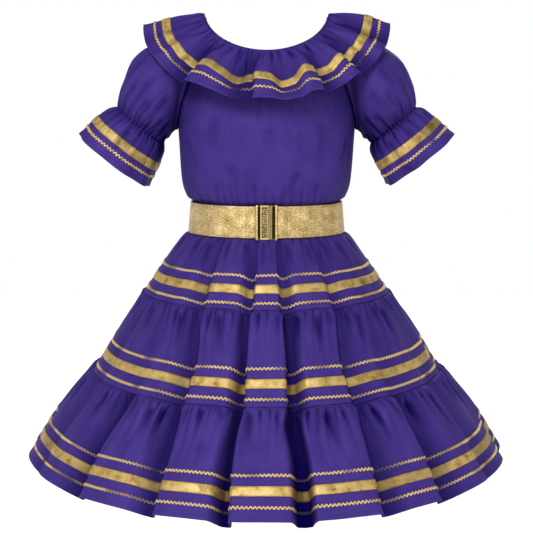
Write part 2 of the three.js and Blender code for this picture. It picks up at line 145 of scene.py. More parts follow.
def pressed(degrees, down, size, creases):
    """Creases drawn one by one, each from an angle and percentage of the length down to another.
    Depths below 0 are troughs and the others ridges, and the size is the whole length around
    and down."""
    relief = 0
    for from_angle, from_down, to_angle, to_down, depth, width in creases:
        x = ((degrees - from_angle + 180) % 360 - 180) / 360 * size[0]
        y = (down - from_down / 100) * size[1]
        end_x = (to_angle - from_angle) / 360 * size[0]
        end_y = (to_down - from_down) / 100 * size[1]
        t = np.clip((x * end_x + y * end_y) / (end_x**2 + end_y**2), 0, 1)
        away = np.hypot(x - t * end_x, y - t * end_y)
        fade = smooth(t / 0.16) * smooth((1 - t) / 0.8)
        relief = relief + depth * fade * mound(away, width * (1 - 0.45 * t))
    return relief


def turned_hem(down, total, height, depth):
    """Relief of a hem, which stands a little higher over its turned-up depth"""
    return height * smooth((down - total + depth) / 1.5)


def banded(painted_shade, seed, bands, most):
    """The painted shade along a ribbon, with soft bands of painted shade at random places, standing for
    where it turns away from the light
    """
    share = np.arange(len(painted_shade)) / len(painted_shade)
    return np.clip(painted_shade + most * np.clip(noise(seed, share, 0 * share, bands, 1), 0, 1), 0, 1)


def crease_painted_shade(relief):
    """How much painted shade darkens the cloth in its pressed creases"""
    return np.clip(-relief / 9, 0, 0.5)


# Grids of points: rows run down the cloth, and columns run around it with the angle

def ellipse(half_width, half_depth, height, angle):
    x = half_width * np.sin(angle)
    y = -half_depth * np.cos(angle)
    return np.stack(np.broadcast_arrays(x, y, height), axis=-1).astype(float)


def unit(vectors):
    return vectors / np.maximum(np.linalg.norm(vectors, axis=-1, keepdims=True), 1e-9)


def step_across(grid, closed):
    if closed:
        return (np.roll(grid, -1, 1) - np.roll(grid, 1, 1)) / 2
    return np.gradient(grid, axis=1)


def grid_normals(grid, closed):
    return unit(np.cross(np.gradient(grid, axis=0), step_across(grid, closed)))


def raised(grid, relief, closed=True):
    return grid + grid_normals(grid, closed) * relief[..., None]


def length_down(grid):
    """Mean length from the upper edge to each row"""
    steps = np.linalg.norm(np.diff(grid, axis=0), axis=2).mean(axis=1)
    return np.concatenate([[0], np.cumsum(steps)])


def length_around(row, closed):
    ends = np.concatenate([row, row[:1]]) if closed else row
    return np.concatenate([[0], np.cumsum(np.linalg.norm(np.diff(ends, axis=0), axis=1))])


def around_middle(grid, closed=True):
    return length_around(grid[len(grid) // 2], closed)


def sampled(grid, rows, columns, closed=True):
    """Points of a grid at places between its rows and columns"""
    rows = np.clip(rows, 0, grid.shape[0] - 1.001)
    row = np.floor(rows).astype(int)
    column = np.floor(columns).astype(int)
    down = (rows - row)[..., None]
    over = (columns - column)[..., None]
    if closed:
        left, right = column % grid.shape[1], (column + 1) % grid.shape[1]
    else:
        left = np.clip(column, 0, grid.shape[1] - 1)
        right = np.clip(column + 1, 0, grid.shape[1] - 1)
    upper = grid[row, left] * (1 - over) + grid[row, right] * over
    lower = grid[row + 1, left] * (1 - over) + grid[row + 1, right] * over
    return upper * (1 - down) + lower * down


def measured(grid):
    """Lengths down a closed grid and their shares, and its round and the shares around"""
    down = length_down(grid)[:, None]
    around = length_around(grid[0], True)
    return down, down / down[-1], around[-1], (around[:-1] / around[-1])[None, :]


def row_at(grid, share, down=0.0):
    """The row at a share of a grid's length, moved down the cloth from there"""
    lengths = length_down(grid)
    return np.interp(share * lengths[-1] + down, lengths, np.arange(len(lengths)))


def row_spacing(grid, row, columns):
    below = sampled(grid, row + 1 + 0 * columns, columns)
    above = sampled(grid, row - 1 + 0 * columns, columns)
    return np.maximum(np.linalg.norm(below - above, axis=1) / 2, 0.5)


def from_ends(count):
    return np.minimum(np.arange(count), np.arange(count)[::-1])


# Pieces

def make_piece(name, node, slot, mesh, painted_shade):
    """A piece stands for one CAD node, takes its finish from one slot of the record and keeps how
    much painted shade darkens it at each point"""
    mesh.polygons.foreach_set("use_smooth", np.ones(len(mesh.polygons), bool))
    # The painted shade is kept as a point attribute, which the materials read to darken their colour
    depth = mesh.attributes.new("painted_shade", "FLOAT", "POINT")
    depth.data.foreach_set("value", np.ascontiguousarray(painted_shade, dtype=float).ravel())
    mesh.materials.append(MATERIALS[slot])
    mesh.update()
    piece = bpy.data.objects.new(name, mesh)
    bpy.context.scene.collection.objects.link(piece)
    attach(piece, BODY)
    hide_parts(node)
    return piece


def loop_piece(name, node, slot, loops, around, along, closed, painted_shade):
    """A closed body from outlines: each column holds one outline of the body's section"""
    count, columns = loops.shape[:2]
    k = np.arange(count)[:, None]
    c = np.arange(columns if closed else columns - 1)[None, :]
    lower, right = (k + 1) % count, (c + 1) % columns
    corners = (k * columns + c, lower * columns + c, lower * columns + right, k * columns + right)
    faces = np.stack(np.broadcast_arrays(*corners), axis=-1).reshape(-1, 4)
    u = np.stack(np.broadcast_arrays(*(around[i] + 0 * k for i in (c, c, c + 1, c + 1))), -1)
    v = np.stack(np.broadcast_arrays(*(along[i] + 0 * c for i in (k, k + 1, k + 1, k))), -1)
    uvs = np.stack([u, v], axis=-1).reshape(-1, 4, 2)
    if not closed:
        r = np.arange(count // 2 - 1)
        outer, inner = r * columns, (count - 1 - r) * columns
        for end, order in ((0, (0, 1, 2, 3)), (columns - 1, (0, 3, 2, 1))):
            ring = [outer + end, inner + end, inner - columns + end, outer + columns + end]
            faces = np.concatenate([faces, np.stack([ring[i] for i in order], axis=-1)])
            edge = np.stack([np.full(4, along[0]), np.arange(4.0)], axis=-1)
            uvs = np.concatenate([uvs, np.broadcast_to(edge, (len(r), 4, 2))])
    mesh = bpy.data.meshes.new(name)
    mesh.from_pydata((loops.reshape(-1, 3) * METRE).tolist(), [], faces.tolist())
    mesh.uv_layers.new(name="cloth").data.foreach_set("uv", (uvs * METRE).ravel())
    return make_piece(name, node, slot, mesh, np.broadcast_to(painted_shade, loops.shape[:2]))


def shell(name, node, grid, closed, painted_shade=0.0, normals=None, around=None,
          slot="indigo_cloth", wall=CLOTH_WALL):
    """Cloth with its outer face on the grid"""
    if normals is None:
        normals = grid_normals(grid, closed)
    if around is None:
        around = around_middle(grid, closed)
    inner = grid - normals * wall
    down = length_down(grid)
    height = down[-1] - down
    along = np.concatenate([height, height[::-1] - wall, height[:1]])
    painted_shade = np.broadcast_to(painted_shade, grid.shape[:2])
    painted_shade = np.concatenate([painted_shade, painted_shade[::-1]])
    loops = np.concatenate([grid, inner[::-1]])
    return loop_piece(name, node, slot, loops, around, along, closed, painted_shade)


TRIM_LIFT = 0.25
RIBBON_WIDTH = 16
# Sections of the trims: share of the half width, and height over the cloth
RIBBON_SECTION = [(-1, 0.25), (-0.96, 0.8), (-0.5, 0.92), (0, 0.98), (0.5, 0.92), (0.96, 0.8), (1, 0.25)]
RICKRACK_SECTION = [(-1, 0.2), (-0.5, 1.2), (0.5, 1.2), (1, 0.2)]
RICKRACK_PERIOD = 6.2
RICKRACK_SWING = 1.85
RICKRACK_STEPS = 6
RICKRACK_HALF = 1.25


def ribbon_on(name, node, grid, row_share, seed, painted_shade):
    """A ribbon all round a closed grid, with its middle at a share of the length"""
    columns = np.arange(grid.shape[1])
    row = row_at(grid, row_share)
    spacing = row_spacing(grid, row, columns)
    normals = grid_normals(grid, True)
    around = length_around(sampled(grid, row + 0 * columns, columns), True)
    share = around[:-1] / around[-1]
    pucker = 0.22 * noise(seed, share, 0 * share, int(around[-1] / 14), 1)
    loops = []
    for side, height in RIBBON_SECTION:
        rows = row + side * RIBBON_WIDTH / 2 / spacing
        out = unit(sampled(normals, rows, columns))
        lift = height + TRIM_LIFT + pucker * (1 - abs(side))
        loops.append(sampled(grid, rows, columns) + out * lift[:, None])
    along = np.array([(side + 1) * RIBBON_WIDTH / 2 for side, height in RIBBON_SECTION] + [0])
    return loop_piece(name, node, "gold_ribbon", np.array(loops), around, along, True, painted_shade)


def rickrack_on(name, node, grid, row_share, down, seed, painted_shade):
    """A zigzag braid all round a closed grid, some way down from a share of its length"""
    row = row_at(grid, row_share, down)
    columns = np.arange(grid.shape[1])
    around = length_around(sampled(grid, row + 0 * columns, columns), True)
    periods = round(around[-1] / RICKRACK_PERIOD)
    count = periods * RICKRACK_STEPS
    place = np.arange(count) / count * around[-1]
    share = place / around[-1]
    column = np.interp(place, around, np.arange(len(around)))
    phase = np.arange(count) / RICKRACK_STEPS * TURN
    uneven = noise(seed, share, 0 * share, periods // 5, 1)
    swing = RICKRACK_SWING * (1 + 0.12 * uneven) * np.sin(phase + 0.5 * uneven)
    swing = swing + 0.35 * noise(seed + 5, share, 0 * share, periods // 9, 1)
    rows = row + swing / row_spacing(grid, row, column)
    path = sampled(grid, rows, column)
    out = unit(sampled(grid_normals(grid, True), rows, column))
    ahead = unit(np.roll(path, -1, 0) - np.roll(path, 1, 0))
    side = unit(np.cross(ahead, out)) * RICKRACK_HALF
    loops = [path + side * half + out * (height + TRIM_LIFT) for half, height in RICKRACK_SECTION]
    along = np.array([0, 0.7, 1.8, 2.5, 0])
    shade = banded(painted_shade, seed + 9, periods // 4, 0.55)
    painted_shade = np.interp(column, np.arange(len(painted_shade)), shade)
    around = np.append(place, around[-1])
    return loop_piece(name, node, "gold_braid", np.array(loops), around, along, True, painted_shade)


# Folds of a ring

# Troughs by angle from the centre front in degrees at the lower edge of each tier, with the
# depth at the hem in millimetres. The lobe on the side that "over" names stands over the trough.
SKIRT_FOLDS = [
    # angle in tiers 1, 2 and 3, share of the depth in tiers 1 and 2, depth, over, half floor,
    # wall and gentle side in degrees
    (-160, -161, -160, 0.9, 1, 24, 1, 0.6, 2.0, 5),
    (-133, -134, -132, 0.5, 0.9, 28, 1, 1.2, 1.8, 4),
    (-108, -109, -108, 0.9, 1, 22, -1, 0.6, 2.0, 5),
    (-84, -86, -86, 0.5, 0.8, 11, 1, 0.5, 2.4, 7),
    (-64, -66, -67, 0.6, 0.8, 7, 1, 0.5, 2.4, 7),
    (-48, -45, -47.5, 0.12, 0.2, 27, 1, 0.8, 2.0, 6),
    (-31, -27, -26, 1, 1, 26, 1, 0.7, 1.5, 4),
    (-7.4, -7.6, -8.9, 1, 1, 42, 1, 1.0, 0.9, 1.9),
    (8.5, 8.1, 8.9, 0.8, 1, 44, -1, 1.5, 1.2, 1.7),
    (32.5, 28.3, 27, 1, 1, 25, -1, 0.7, 1.7, 4.5),
    (48, 43, 43, 0.12, 0.25, 26, -1, 0.8, 2.2, 7),
    (64, 62, 62, 0.6, 0.8, 7, -1, 0.5, 2.4, 7),
    (84, 82, 82, 0.4, 0.8, 12, -1, 0.6, 2.4, 7),
    (107, 106, 105, 0.9, 1, 21, 1, 0.6, 2.0, 5),
    (131, 130, 131, 0.5, 0.9, 27, -1, 1.0, 1.8, 4),
    (156, 157, 156, 0.9, 1, 23, -1, 0.6, 2.0, 5),
]
# The lobe that stands over this trough changes sides at the lowest tier
TURNING_FOLD = 8
SKIRT_COLUMNS = 896

COLLAR_FOLDS = [
    # angle, depth, over, half floor, wall and gentle side in degrees
    (-160, 8, 1, 0.6, 4, 13),
    (-130, 10, 1, 0.6, 4, 12),
    (-103, 8, 1, 0.6, 4, 11),
    (-75, 2.5, 1, 0.6, 7, 11),
    (-42, 10, 1, 0.6, 3, 14),
    (-8, 11, 1, 0.6, 2.6, 16),
    (28.6, 10, -1, 0.6, 2.6, 9),
    (50.7, 10, -1, 0.6, 3, 12),
    (77, 7, -1, 0.6, 4, 11),
    (106, 8, -1, 0.6, 4, 12),
    (136, 10, -1, 0.6, 4, 13),
    (168, 9, -1, 0.6, 4, 13),
]
COLLAR_COLUMNS = 640

END_DENSITY = 0.4
# How far a lobe is crowned, in millimetres for each degree of its width
CROWN = 0.65


def lobe_counts(starts, total):
    """Columns for each lobe, in keeping with its width"""
    widths = (np.roll(starts, -1) - starts) % 360
    counts = np.maximum(np.round(widths / 360 * total).astype(int), 12)
    counts[-1] += total - counts.sum()
    return counts


def fold_columns(starts, shapes, counts, softness, lean, spread=1.0):
    """Angle, dip, sideways shift and painted shade of each column. Over a trough the lobe's shoulder
    leans past the wall beneath it."""
    columns = []
    deepest = max(shape[0] for shape in shapes)
    for i, count in enumerate(counts):
        following = (i + 1) % len(counts)
        width = (starts[following] - starts[i]) % 360
        even = np.arange(count) / count
        s = crowded(even, END_DENSITY)
        dip, shift, painted_shade = np.zeros((3, count))
        sides = ((s, i, shapes[i][1] > 0, -1), (1 - s, following, shapes[following][1] < 0, 1))
        for away, trough, over, towards in sides:
            depth, _, floor, wall, gentle = shapes[trough]
            from_floor = away * width - floor
            crown = min(CROWN * width, 0.5 * depth)
            if over:
                # A steep wall under a shoulder that swells and leans over it
                t = from_floor / (wall * softness)
                near = 1 - smooth(t)
                shade = near**0.6
                shift += towards * lean * depth * smooth(t / 0.8) * (1 - smooth((t - 0.8) / 2.5))
                dip -= 0.07 * depth * smooth(t) * (1 - smooth((t - 1) / 3))
            else:
                # A gentle side
                near = 1 - smooth(from_floor / min(gentle * spread, 0.66 * width))
                shade = near**1.1
            dip += (depth - crown) * near + crown * (1 - np.minimum(2 * away, 1)) ** 2
            painted_shade = np.maximum(painted_shade, shade * (depth / deepest) ** 0.6)
        columns.append((starts[i] + s * width, dip, shift, painted_shade))
    angles, dips, shifts, painted_shades = np.concatenate(columns, axis=1)
    return np.radians(angles), dips, shifts, painted_shades


def folded(rows, dips, shifts):
    """Rows of a ring pressed in along the smooth form's normal"""
    normals = grid_normals(rows, True)
    sideways = unit(step_across(rows, True))
    return rows - normals * dips[..., None] + sideways * shifts[..., None]


def enlarged(row, apex_height, scale):
    apex = np.array([0, 0, apex_height])
    return (row - apex) * scale + apex


# Materials

class Nodes:
    """Adds nodes to a tree and gives back their outputs"""

    def __init__(self, tree):
        self.tree = tree

    def give(self, socket, value):
        if isinstance(value, bpy.types.NodeSocket):
            self.tree.links.new(value, socket)
        elif socket.type == "RGBA":
            socket.default_value = (*value, 1)
        else:
            socket.default_value = value

    def add(self, kind, inputs, **settings):
        node = self.tree.nodes.new("ShaderNode" + kind)
        for key, value in settings.items():
            setattr(node, key, value)
        for key, value in inputs.items():
            self.give(node.inputs[key], value)
        return node

    def math(self, operation, *values):
        return self.add("Math", dict(enumerate(values)), operation=operation).outputs[0]

    def times(self, first, second):
        return self.math("MULTIPLY", first, second)

    def minus(self, first, second):
        return self.math("SUBTRACT", first, second)

    def noise(self, vector, scale, detail=3.0, roughness=0.55):
        inputs = {"Vector": vector, "Scale": scale, "Detail": detail, "Roughness": roughness}
        return self.add("TexNoise", inputs).outputs["Fac"]

    def ramp(self, value, *stops):
        node = self.add("ValToRGB", {"Fac": value})
        elements = node.color_ramp.elements
        while len(elements) < len(stops):
            elements.new(0.5)
        for element, (place, colour) in zip(elements, stops):
            element.position = place
            element.color = (*colour, 1)
        return node.outputs["Color"]

    def mix(self, share, first, second):
        return self.add("Mix", {0: share, 6: first, 7: second}, data_type="RGBA").outputs[2]


class Finish(Nodes):
    """A material with its shader, and the places on the cloth that its patterns follow"""

    def __init__(self, name):
        self.material = bpy.data.materials.new(name)
        self.material.use_nodes = True
        super().__init__(self.material.node_tree)
        self.tree.nodes.clear()
        self.shader = self.add("BsdfPrincipled", {})
        self.add("OutputMaterial", {0: self.shader.outputs[0]})
        place = self.add("TexCoord", {})
        self.uv, self.object_place = place.outputs["UV"], place.outputs["Object"]
        parts = self.add("SeparateXYZ", {0: self.uv})
        self.u, self.v = parts.outputs[0], parts.outputs[1]

    def waves(self, direction, scale):
        inputs = {"Vector": self.uv, "Scale": scale}
        return self.add("TexWave", inputs, bands_direction=direction).outputs["Fac"]

    def threads(self, per_metre):
        """Warp and weft: the higher of two rows of threads, which take turns to lie on top"""
        scale = per_metre / 20 * TURN
        return self.math("MAXIMUM", self.waves("X", scale), self.waves("Y", scale))

    def line(self, place, half_width):
        """1 within half a width of a place down the cloth, with soft sides"""
        away = self.math("ABSOLUTE", self.minus(self.v, place))
        near = self.minus(1.5, self.math("DIVIDE", away, half_width))
        return self.math("SMOOTH_MIN", 1.0, self.math("MAXIMUM", near, 0.0), 0.1)

    def lines(self, place, other_place, half_width):
        return self.math("MAXIMUM", self.line(place, half_width), self.line(other_place, half_width))

    def stitched(self, line, pitch, filled):
        turn = self.math("FRACT", self.math("DIVIDE", self.u, pitch))
        return self.times(line, self.math("LESS_THAN", turn, filled))

    def painted_shade(self, least=0.0, power=1.0):
        """The painted shade: 1 where light seldom reaches, in the troughs of folds and gathers, and 0 below
        the least
        """
        painted_shade = self.add("Attribute", {}, attribute_name="painted_shade").outputs["Fac"]
        above = self.math("DIVIDE", self.minus(painted_shade, least), 1 - least)
        return self.math("POWER", self.math("MAXIMUM", above, 0.0), power)

    # Sheen or specular that is taken away where shade is painted
    def lit(self, most):
        return self.times(self.minus(1.0, self.painted_shade()), most)

    # Mixes a dark colour in as painted shade, as far as the painted shade attribute goes
    def with_painted_shade(self, colour, deep_colour, most, least=0.0, power=1.0):
        return self.mix(self.times(self.painted_shade(least, power), most), colour, deep_colour)

    def shade(self, inputs, *bumps):
        """Sets the shader's inputs. Each bump has its height, strength and distance in metres."""
        for key, value in inputs.items():
            self.give(self.shader.inputs[key], value)
        normal = {}
        for height, strength, distance in bumps:
            inputs = {"Height": height, "Strength": strength, "Distance": distance, **normal}
            normal = {"Normal": self.add("Bump", inputs).outputs["Normal"]}
        if normal:
            self.give(self.shader.inputs["Normal"], normal["Normal"])
        return self.material


def cloth_material():
    made = Finish("indigo_cotton")
    colour = made.ramp(
        made.noise(made.object_place, 30.0, 4.0, 0.6),
        (0.32, (0.0285, 0.0140, 0.122)), (0.52, (0.0340, 0.0172, 0.139)), (0.70, (0.0400, 0.0208, 0.158)),
    )
    slubs = made.add("Mapping", {"Vector": made.uv, "Scale": (900, 90, 1)}).outputs[0]
    streaks = made.noise(slubs, 1.0, 2.0)
    colour = made.mix(made.times(streaks, 0.2), colour, (0.066, 0.038, 0.22))
    hem_line = made.stitched(made.line(0.0065, 0.0003), 0.0027, 0.72)
    colour = made.mix(made.times(hem_line, 0.55), colour, (0.010, 0.005, 0.06))
    crumple = made.noise(made.object_place, 95.0, 3.0, 0.5)
    # Painted shade: the troughs and gathers turn deep indigo, and lose their specular and sheen
    return made.shade({
        "Base Color": made.with_painted_shade(colour, (0.0003, 0.0002, 0.034), 0.97),
        "Roughness": 0.66,
        "Specular IOR Level": made.lit(0.08),
        "Sheen Weight": made.lit(0.03),
        "Sheen Roughness": 0.5,
        "Sheen Tint": (0.35, 0.26, 0.9),
    }, (made.threads(1900), 0.3, 0.00012), (crumple, 0.45, 0.0014), (hem_line, 0.6, -0.0004))


def ribbon_material():
    made = Finish("gold_satin")
    grains = made.times(made.noise(made.uv, 430.0, 3.0, 0.6), 0.35)
    mottle = made.math("ADD", grains, made.times(made.noise(made.uv, 62.0), 0.65))
    colour = made.ramp(
        mottle, (0.36, (0.16, 0.098, 0.018)), (0.46, (0.37, 0.25, 0.073)), (0.58, (0.48, 0.34, 0.127))
    )
    edges = made.lines(0.0001, 0.0159, 0.0006)
    stitches = made.stitched(made.lines(0.0017, 0.0143, 0.00018), 0.0026, 0.7)
    colour = made.mix(made.times(edges, 0.85), colour, (0.07, 0.034, 0.014))
    colour = made.mix(made.times(stitches, 0.4), colour, (0.28, 0.17, 0.05))
    # Painted shade: the ribbon turns dark gold in the troughs and in soft bands along it
    return made.shade({
        "Base Color": made.with_painted_shade(colour, (0.075, 0.042, 0.008), 0.9, 0.22, 0.7),
        "Metallic": 0.5,
        "Roughness": made.math("MULTIPLY_ADD", mottle, -0.3, 0.74),
    }, (made.threads(1500), 0.25, 0.0001), (mottle, 0.5, 0.0007), (stitches, 0.5, -0.0003))


def braid_material():
    made = Finish("gold_braid")
    plait = made.waves("DIAGONAL", 420.0)
    fleck = made.noise(made.object_place, 700.0, 2.0)
    colour = made.ramp(
        made.times(plait, fleck),
        (0.1, (0.40, 0.25, 0.07)), (0.35, (0.72, 0.52, 0.20)), (0.6, (0.90, 0.72, 0.36)),
    )
    # Painted shade: the braid turns dark indigo in the troughs
    colour = made.with_painted_shade(colour, (0.012, 0.007, 0.045), 0.97, 0.22, 0.6)
    return made.shade({"Base Color": colour, "Metallic": 0.4, "Roughness": 0.46}, (plait, 0.6, 0.0003))


def belt_material():
    made = Finish("gold_crackle_foil")
    wander = made.add("TexNoise", {"Vector": made.uv, "Scale": 300.0}).outputs["Color"]
    bent = made.add("Mix", {0: 0.0012, 4: made.uv, 5: wander}, data_type="VECTOR").outputs[1]
    cells = made.add("TexVoronoi", {"Vector": bent, "Scale": 380.0}, feature="DISTANCE_TO_EDGE")
    cells = cells.outputs["Distance"]
    soft_cells = made.math("MINIMUM", made.times(cells, 4.0), 1.0)
    grains = made.noise(made.uv, 420.0, 3.0, 0.7)
    patches = made.times(made.noise(made.uv, 42.0, 3.0, 0.6), 0.38)
    worn = made.math("ADD", made.times(grains, 0.62), patches)
    colour = made.ramp(
        worn, (0.38, (0.20, 0.125, 0.035)), (0.49, (0.50, 0.36, 0.14)), (0.60, (0.80, 0.65, 0.36))
    )
    crack = made.math("LESS_THAN", cells, 0.09)
    colour = made.mix(made.times(crack, 0.5), colour, (0.24, 0.14, 0.04))
    stitches = made.stitched(made.lines(0.0032, 0.0488, 0.00028), 0.0031, 0.72)
    colour = made.mix(made.times(stitches, 0.6), colour, (0.30, 0.18, 0.05))
    # Painted shade: dark brown where the ends lie in the clasp's slots, beside the folded ends and along
    # the stitches, with the specular taken away there
    return made.shade({
        "Base Color": made.with_painted_shade(colour, (0.030, 0.017, 0.005), 1.0),
        "Specular IOR Level": made.lit(0.5),
        "Metallic": 0.82,
        "Roughness": made.math("MULTIPLY_ADD", worn, 0.3, 0.24),
    }, (soft_cells, 0.5, 0.0006), (grains, 0.6, 0.0012), (stitches, 0.6, -0.0004))


def clasp_material():
    made = Finish("tarnished_gold_with_painted_shade")
    tarnish = made.noise(made.object_place, 420.0, 4.0, 0.65)
    colour = made.ramp(
        tarnish, (0.32, (0.34, 0.24, 0.09)), (0.5, (0.58, 0.44, 0.20)), (0.68, (0.80, 0.66, 0.36))
    )
    # Painted shade: dark brown on the ground between the raised parts
    return made.shade({
        "Base Color": made.with_painted_shade(colour, (0.055, 0.032, 0.009), 0.94),
        "Metallic": 0.95,
        "Roughness": made.math("MULTIPLY_ADD", tarnish, -0.3, 0.52),
    }, (tarnish, 0.4, 0.0004))


MATERIALS = {
    "indigo_cloth": cloth_material(),
    "gold_ribbon": ribbon_material(),
    "gold_braid": braid_material(),
    "gold_belt": belt_material(),
    "clasp_metal": clasp_material(),
}


# Skirt

RICKRACK_FROM_RIBBON = 24
LEAN = 0.12
TUCK_LENGTH = 7
WAIST_EDGE = (129, 97.2, -26.3)

# Sections of each tier as height, half width, half depth and share of the fold depth. The bottom
# is the last section enlarged from a point on the axis. The cuts are each half's width before
# gathering and length, in metres.
TIERS = [
    {
        "name": "tier_1", "rows": 26, "trims": 0.48, "softness": 1.9, "spread": 2.8,
        "sections": [(-34.5, 142, 112, 0.08), (-70, 170.5, 158.6, 0.26)], "bottom": (-126, 208),
        "gathers": (1.5, 2.0, 2.0), "gather_shade_strength": 0.39,
        "cuts": {"front": (0.68, 0.140), "back": (0.66, 0.140)},
    },
    {
        "name": "tier_2", "rows": 34, "trims": 0.54, "softness": 1.25, "spread": 2.1,
        "sections": [(-132, 215.5, 202, 0.4), (-190, 255, 246, 0.55)], "bottom": (-256, 296),
        "gathers": (1.8, 2.6, 3.0), "gather_shade_strength": 0.585,
        "cuts": {"front": (1.02, 0.166), "back": (0.97, 0.166)},
    },
    {
        "name": "tier_3", "rows": 38, "trims": 0.46, "softness": 1.0, "spread": 1.4,
        "sections": [(-264, 305.5, 294.5, 0.7), (-330, 361.5, 338, 0.88)], "bottom": (-399.5, 408),
        "gathers": (1.9, 2.9, 3.6), "gather_shade_strength": 0.585,
        "cuts": {"front": (1.46, 0.185), "back": (1.34, 0.185)},
    },
]

# Creases of the tiers: angle and percentage down at both ends, depth and width. Angles are in
# degrees from the centre front towards the wearer's left.
TIER_CREASES = {
    "tier_1": [
        (-52, 8, -50, 50, -3, 6), (-40, 6, -39, 62, -3.6, 7), (-26, 5, -24, 45, -2.8, 5),
        (-19, 10, -18, 75, 3, 8), (-13, 5, -13, 55, -3.4, 6), (-1.5, 5, -1.5, 50, -2.4, 5),
        (13, 5, 14, 60, -3.4, 7), (21, 6, 22, 42, 2.6, 6), (27, 5, 26, 60, -3, 6), (41, 5, 40, 50, -3.4, 7),
        (55, 8, 56, 62, -3, 8), (73, 6, 74, 50, -3.2, 7), (95, 5, 94, 62, -3.4, 8),
        (118, 8, 120, 45, -2.6, 6), (143, 5, 141, 60, -3.4, 8), (170, 6, 171, 50, -3, 7),
        (-172, 5, -171, 62, -3.4, 8), (-146, 8, -148, 48, -2.8, 6), (-121, 5, -120, 60, -3.4, 8),
        (-96, 6, -95, 50, -3, 6), (-75, 5, -74, 60, -3.2, 8),
    ],
    "tier_2": [
        (-57, 5, -55, 50, -4, 8), (-51, 4, -52, 30, 3, 5), (-39, 4, -38, 36, -3.2, 5),
        (-35, 5, -34, 60, -4.6, 9), (-22, 3, -22, 34, -3.2, 5), (-18, 5, -17, 55, -4.4, 8),
        (-13.5, 3, -13.5, 26, 3, 4), (-3.5, 3, -3.6, 30, -2.6, 4), (0.5, 4, 0.6, 62, 3.6, 11),
        (3.6, 3, 3.8, 34, -2.8, 4), (12, 3, 11.5, 42, -3.6, 6), (15, 4, 15, 30, 3.2, 4),
        (19, 5, 20, 55, -4.4, 8), (24, 3, 24.5, 30, -3, 5), (32, 4, 33, 40, -3.8, 6),
        (37, 5, 38, 62, -4.4, 9), (50, 4, 51, 36, -3.2, 6), (55, 6, 57, 60, -4.6, 9),
        (72, 4, 73, 42, -3.6, 7), (93, 5, 95, 60, -4.8, 10), (99, 4, 99, 30, 3, 5),
        (117, 4, 118, 42, -3.8, 7), (142, 5, 140, 62, -4.8, 10), (149, 4, 150, 30, -3, 5),
        (168, 5, 169, 55, -4.4, 8), (-174, 4, -173, 36, -3.4, 6), (-168, 5, -169, 60, -4.6, 9),
        (-147, 4, -148, 42, -3.6, 7), (-122, 5, -120, 60, -4.8, 10), (-115, 4, -114, 32, 3, 5),
        (-98, 5, -96, 55, -4.4, 8), (-76, 4, -77, 40, -3.6, 7),
    ],
    "tier_3": [
        (-58, 4, -57, 45, -4.2, 8), (-53, 5, -52.5, 28, 3.2, 5), (-43, 3, -41, 30, -3.6, 4),
        (-39, 5, -38, 26, 3.4, 4), (-35, 8, -34.5, 42, -5, 8), (-30.5, 4, -31.5, 50, -5, 9),
        (-37, 40, -37.5, 66, -1.5, 9), (-22.5, 3, -23, 28, -3, 4), (-18.5, 3, -18.5, 36, -4.4, 6),
        (-16.5, 34, -17, 62, -1.5, 9), (-13, 4, -13.2, 30, -3.4, 5), (-5.4, 2, -6, 50, -3.2, 8),
        (-2.5, 2, -2.6, 22, -2.8, 4), (0.2, 3, 0.2, 36, 3, 6), (3, 3, 3.2, 28, -3, 5),
        (12.5, 2, 12, 30, -3.2, 5), (17, 4, 18.5, 50, -4.6, 9), (21.5, 5, 22.5, 26, -3, 5),
        (31, 4, 33.5, 48, -5.4, 7), (35, 6, 36, 30, 3.4, 5), (38.5, 3, 40, 34, -3.4, 5),
        (47, 5, 49, 45, -5, 9), (53, 4, 54, 30, -3.4, 6), (57, 5, 58, 50, -4.6, 9), (71, 4, 72, 40, -4, 7),
        (76, 6, 77, 55, -4.8, 10), (92, 4, 93, 32, 3.4, 5), (97, 5, 96, 50, -5.2, 9),
        (115, 4, 117, 42, -4.2, 8), (122, 5, 122, 30, -3.2, 5), (142, 5, 140, 50, -5, 9),
        (149, 4, 150, 36, -3.8, 6), (167, 5, 168, 52, -5, 10), (176, 4, 177, 32, -3.4, 5),
        (-171, 5, -172, 50, -5, 9), (-151, 4, -150, 42, -4.2, 8), (-143, 5, -144, 30, 3.2, 5),
        (-124, 5, -122, 55, -5.2, 10), (-117, 4, -116, 34, -3.4, 5), (-99, 5, -97, 48, -5, 9),
        (-91, 4, -92, 30, -3.2, 5), (-77, 5, -75, 50, -4.8, 9),
    ],
}


def row_shares(count):
    """Shares down a tier, closer together at the gathers and at the hem"""
    even = np.linspace(0, 1, count)
    return crowded(even, 0.45 - 0.15 * even)


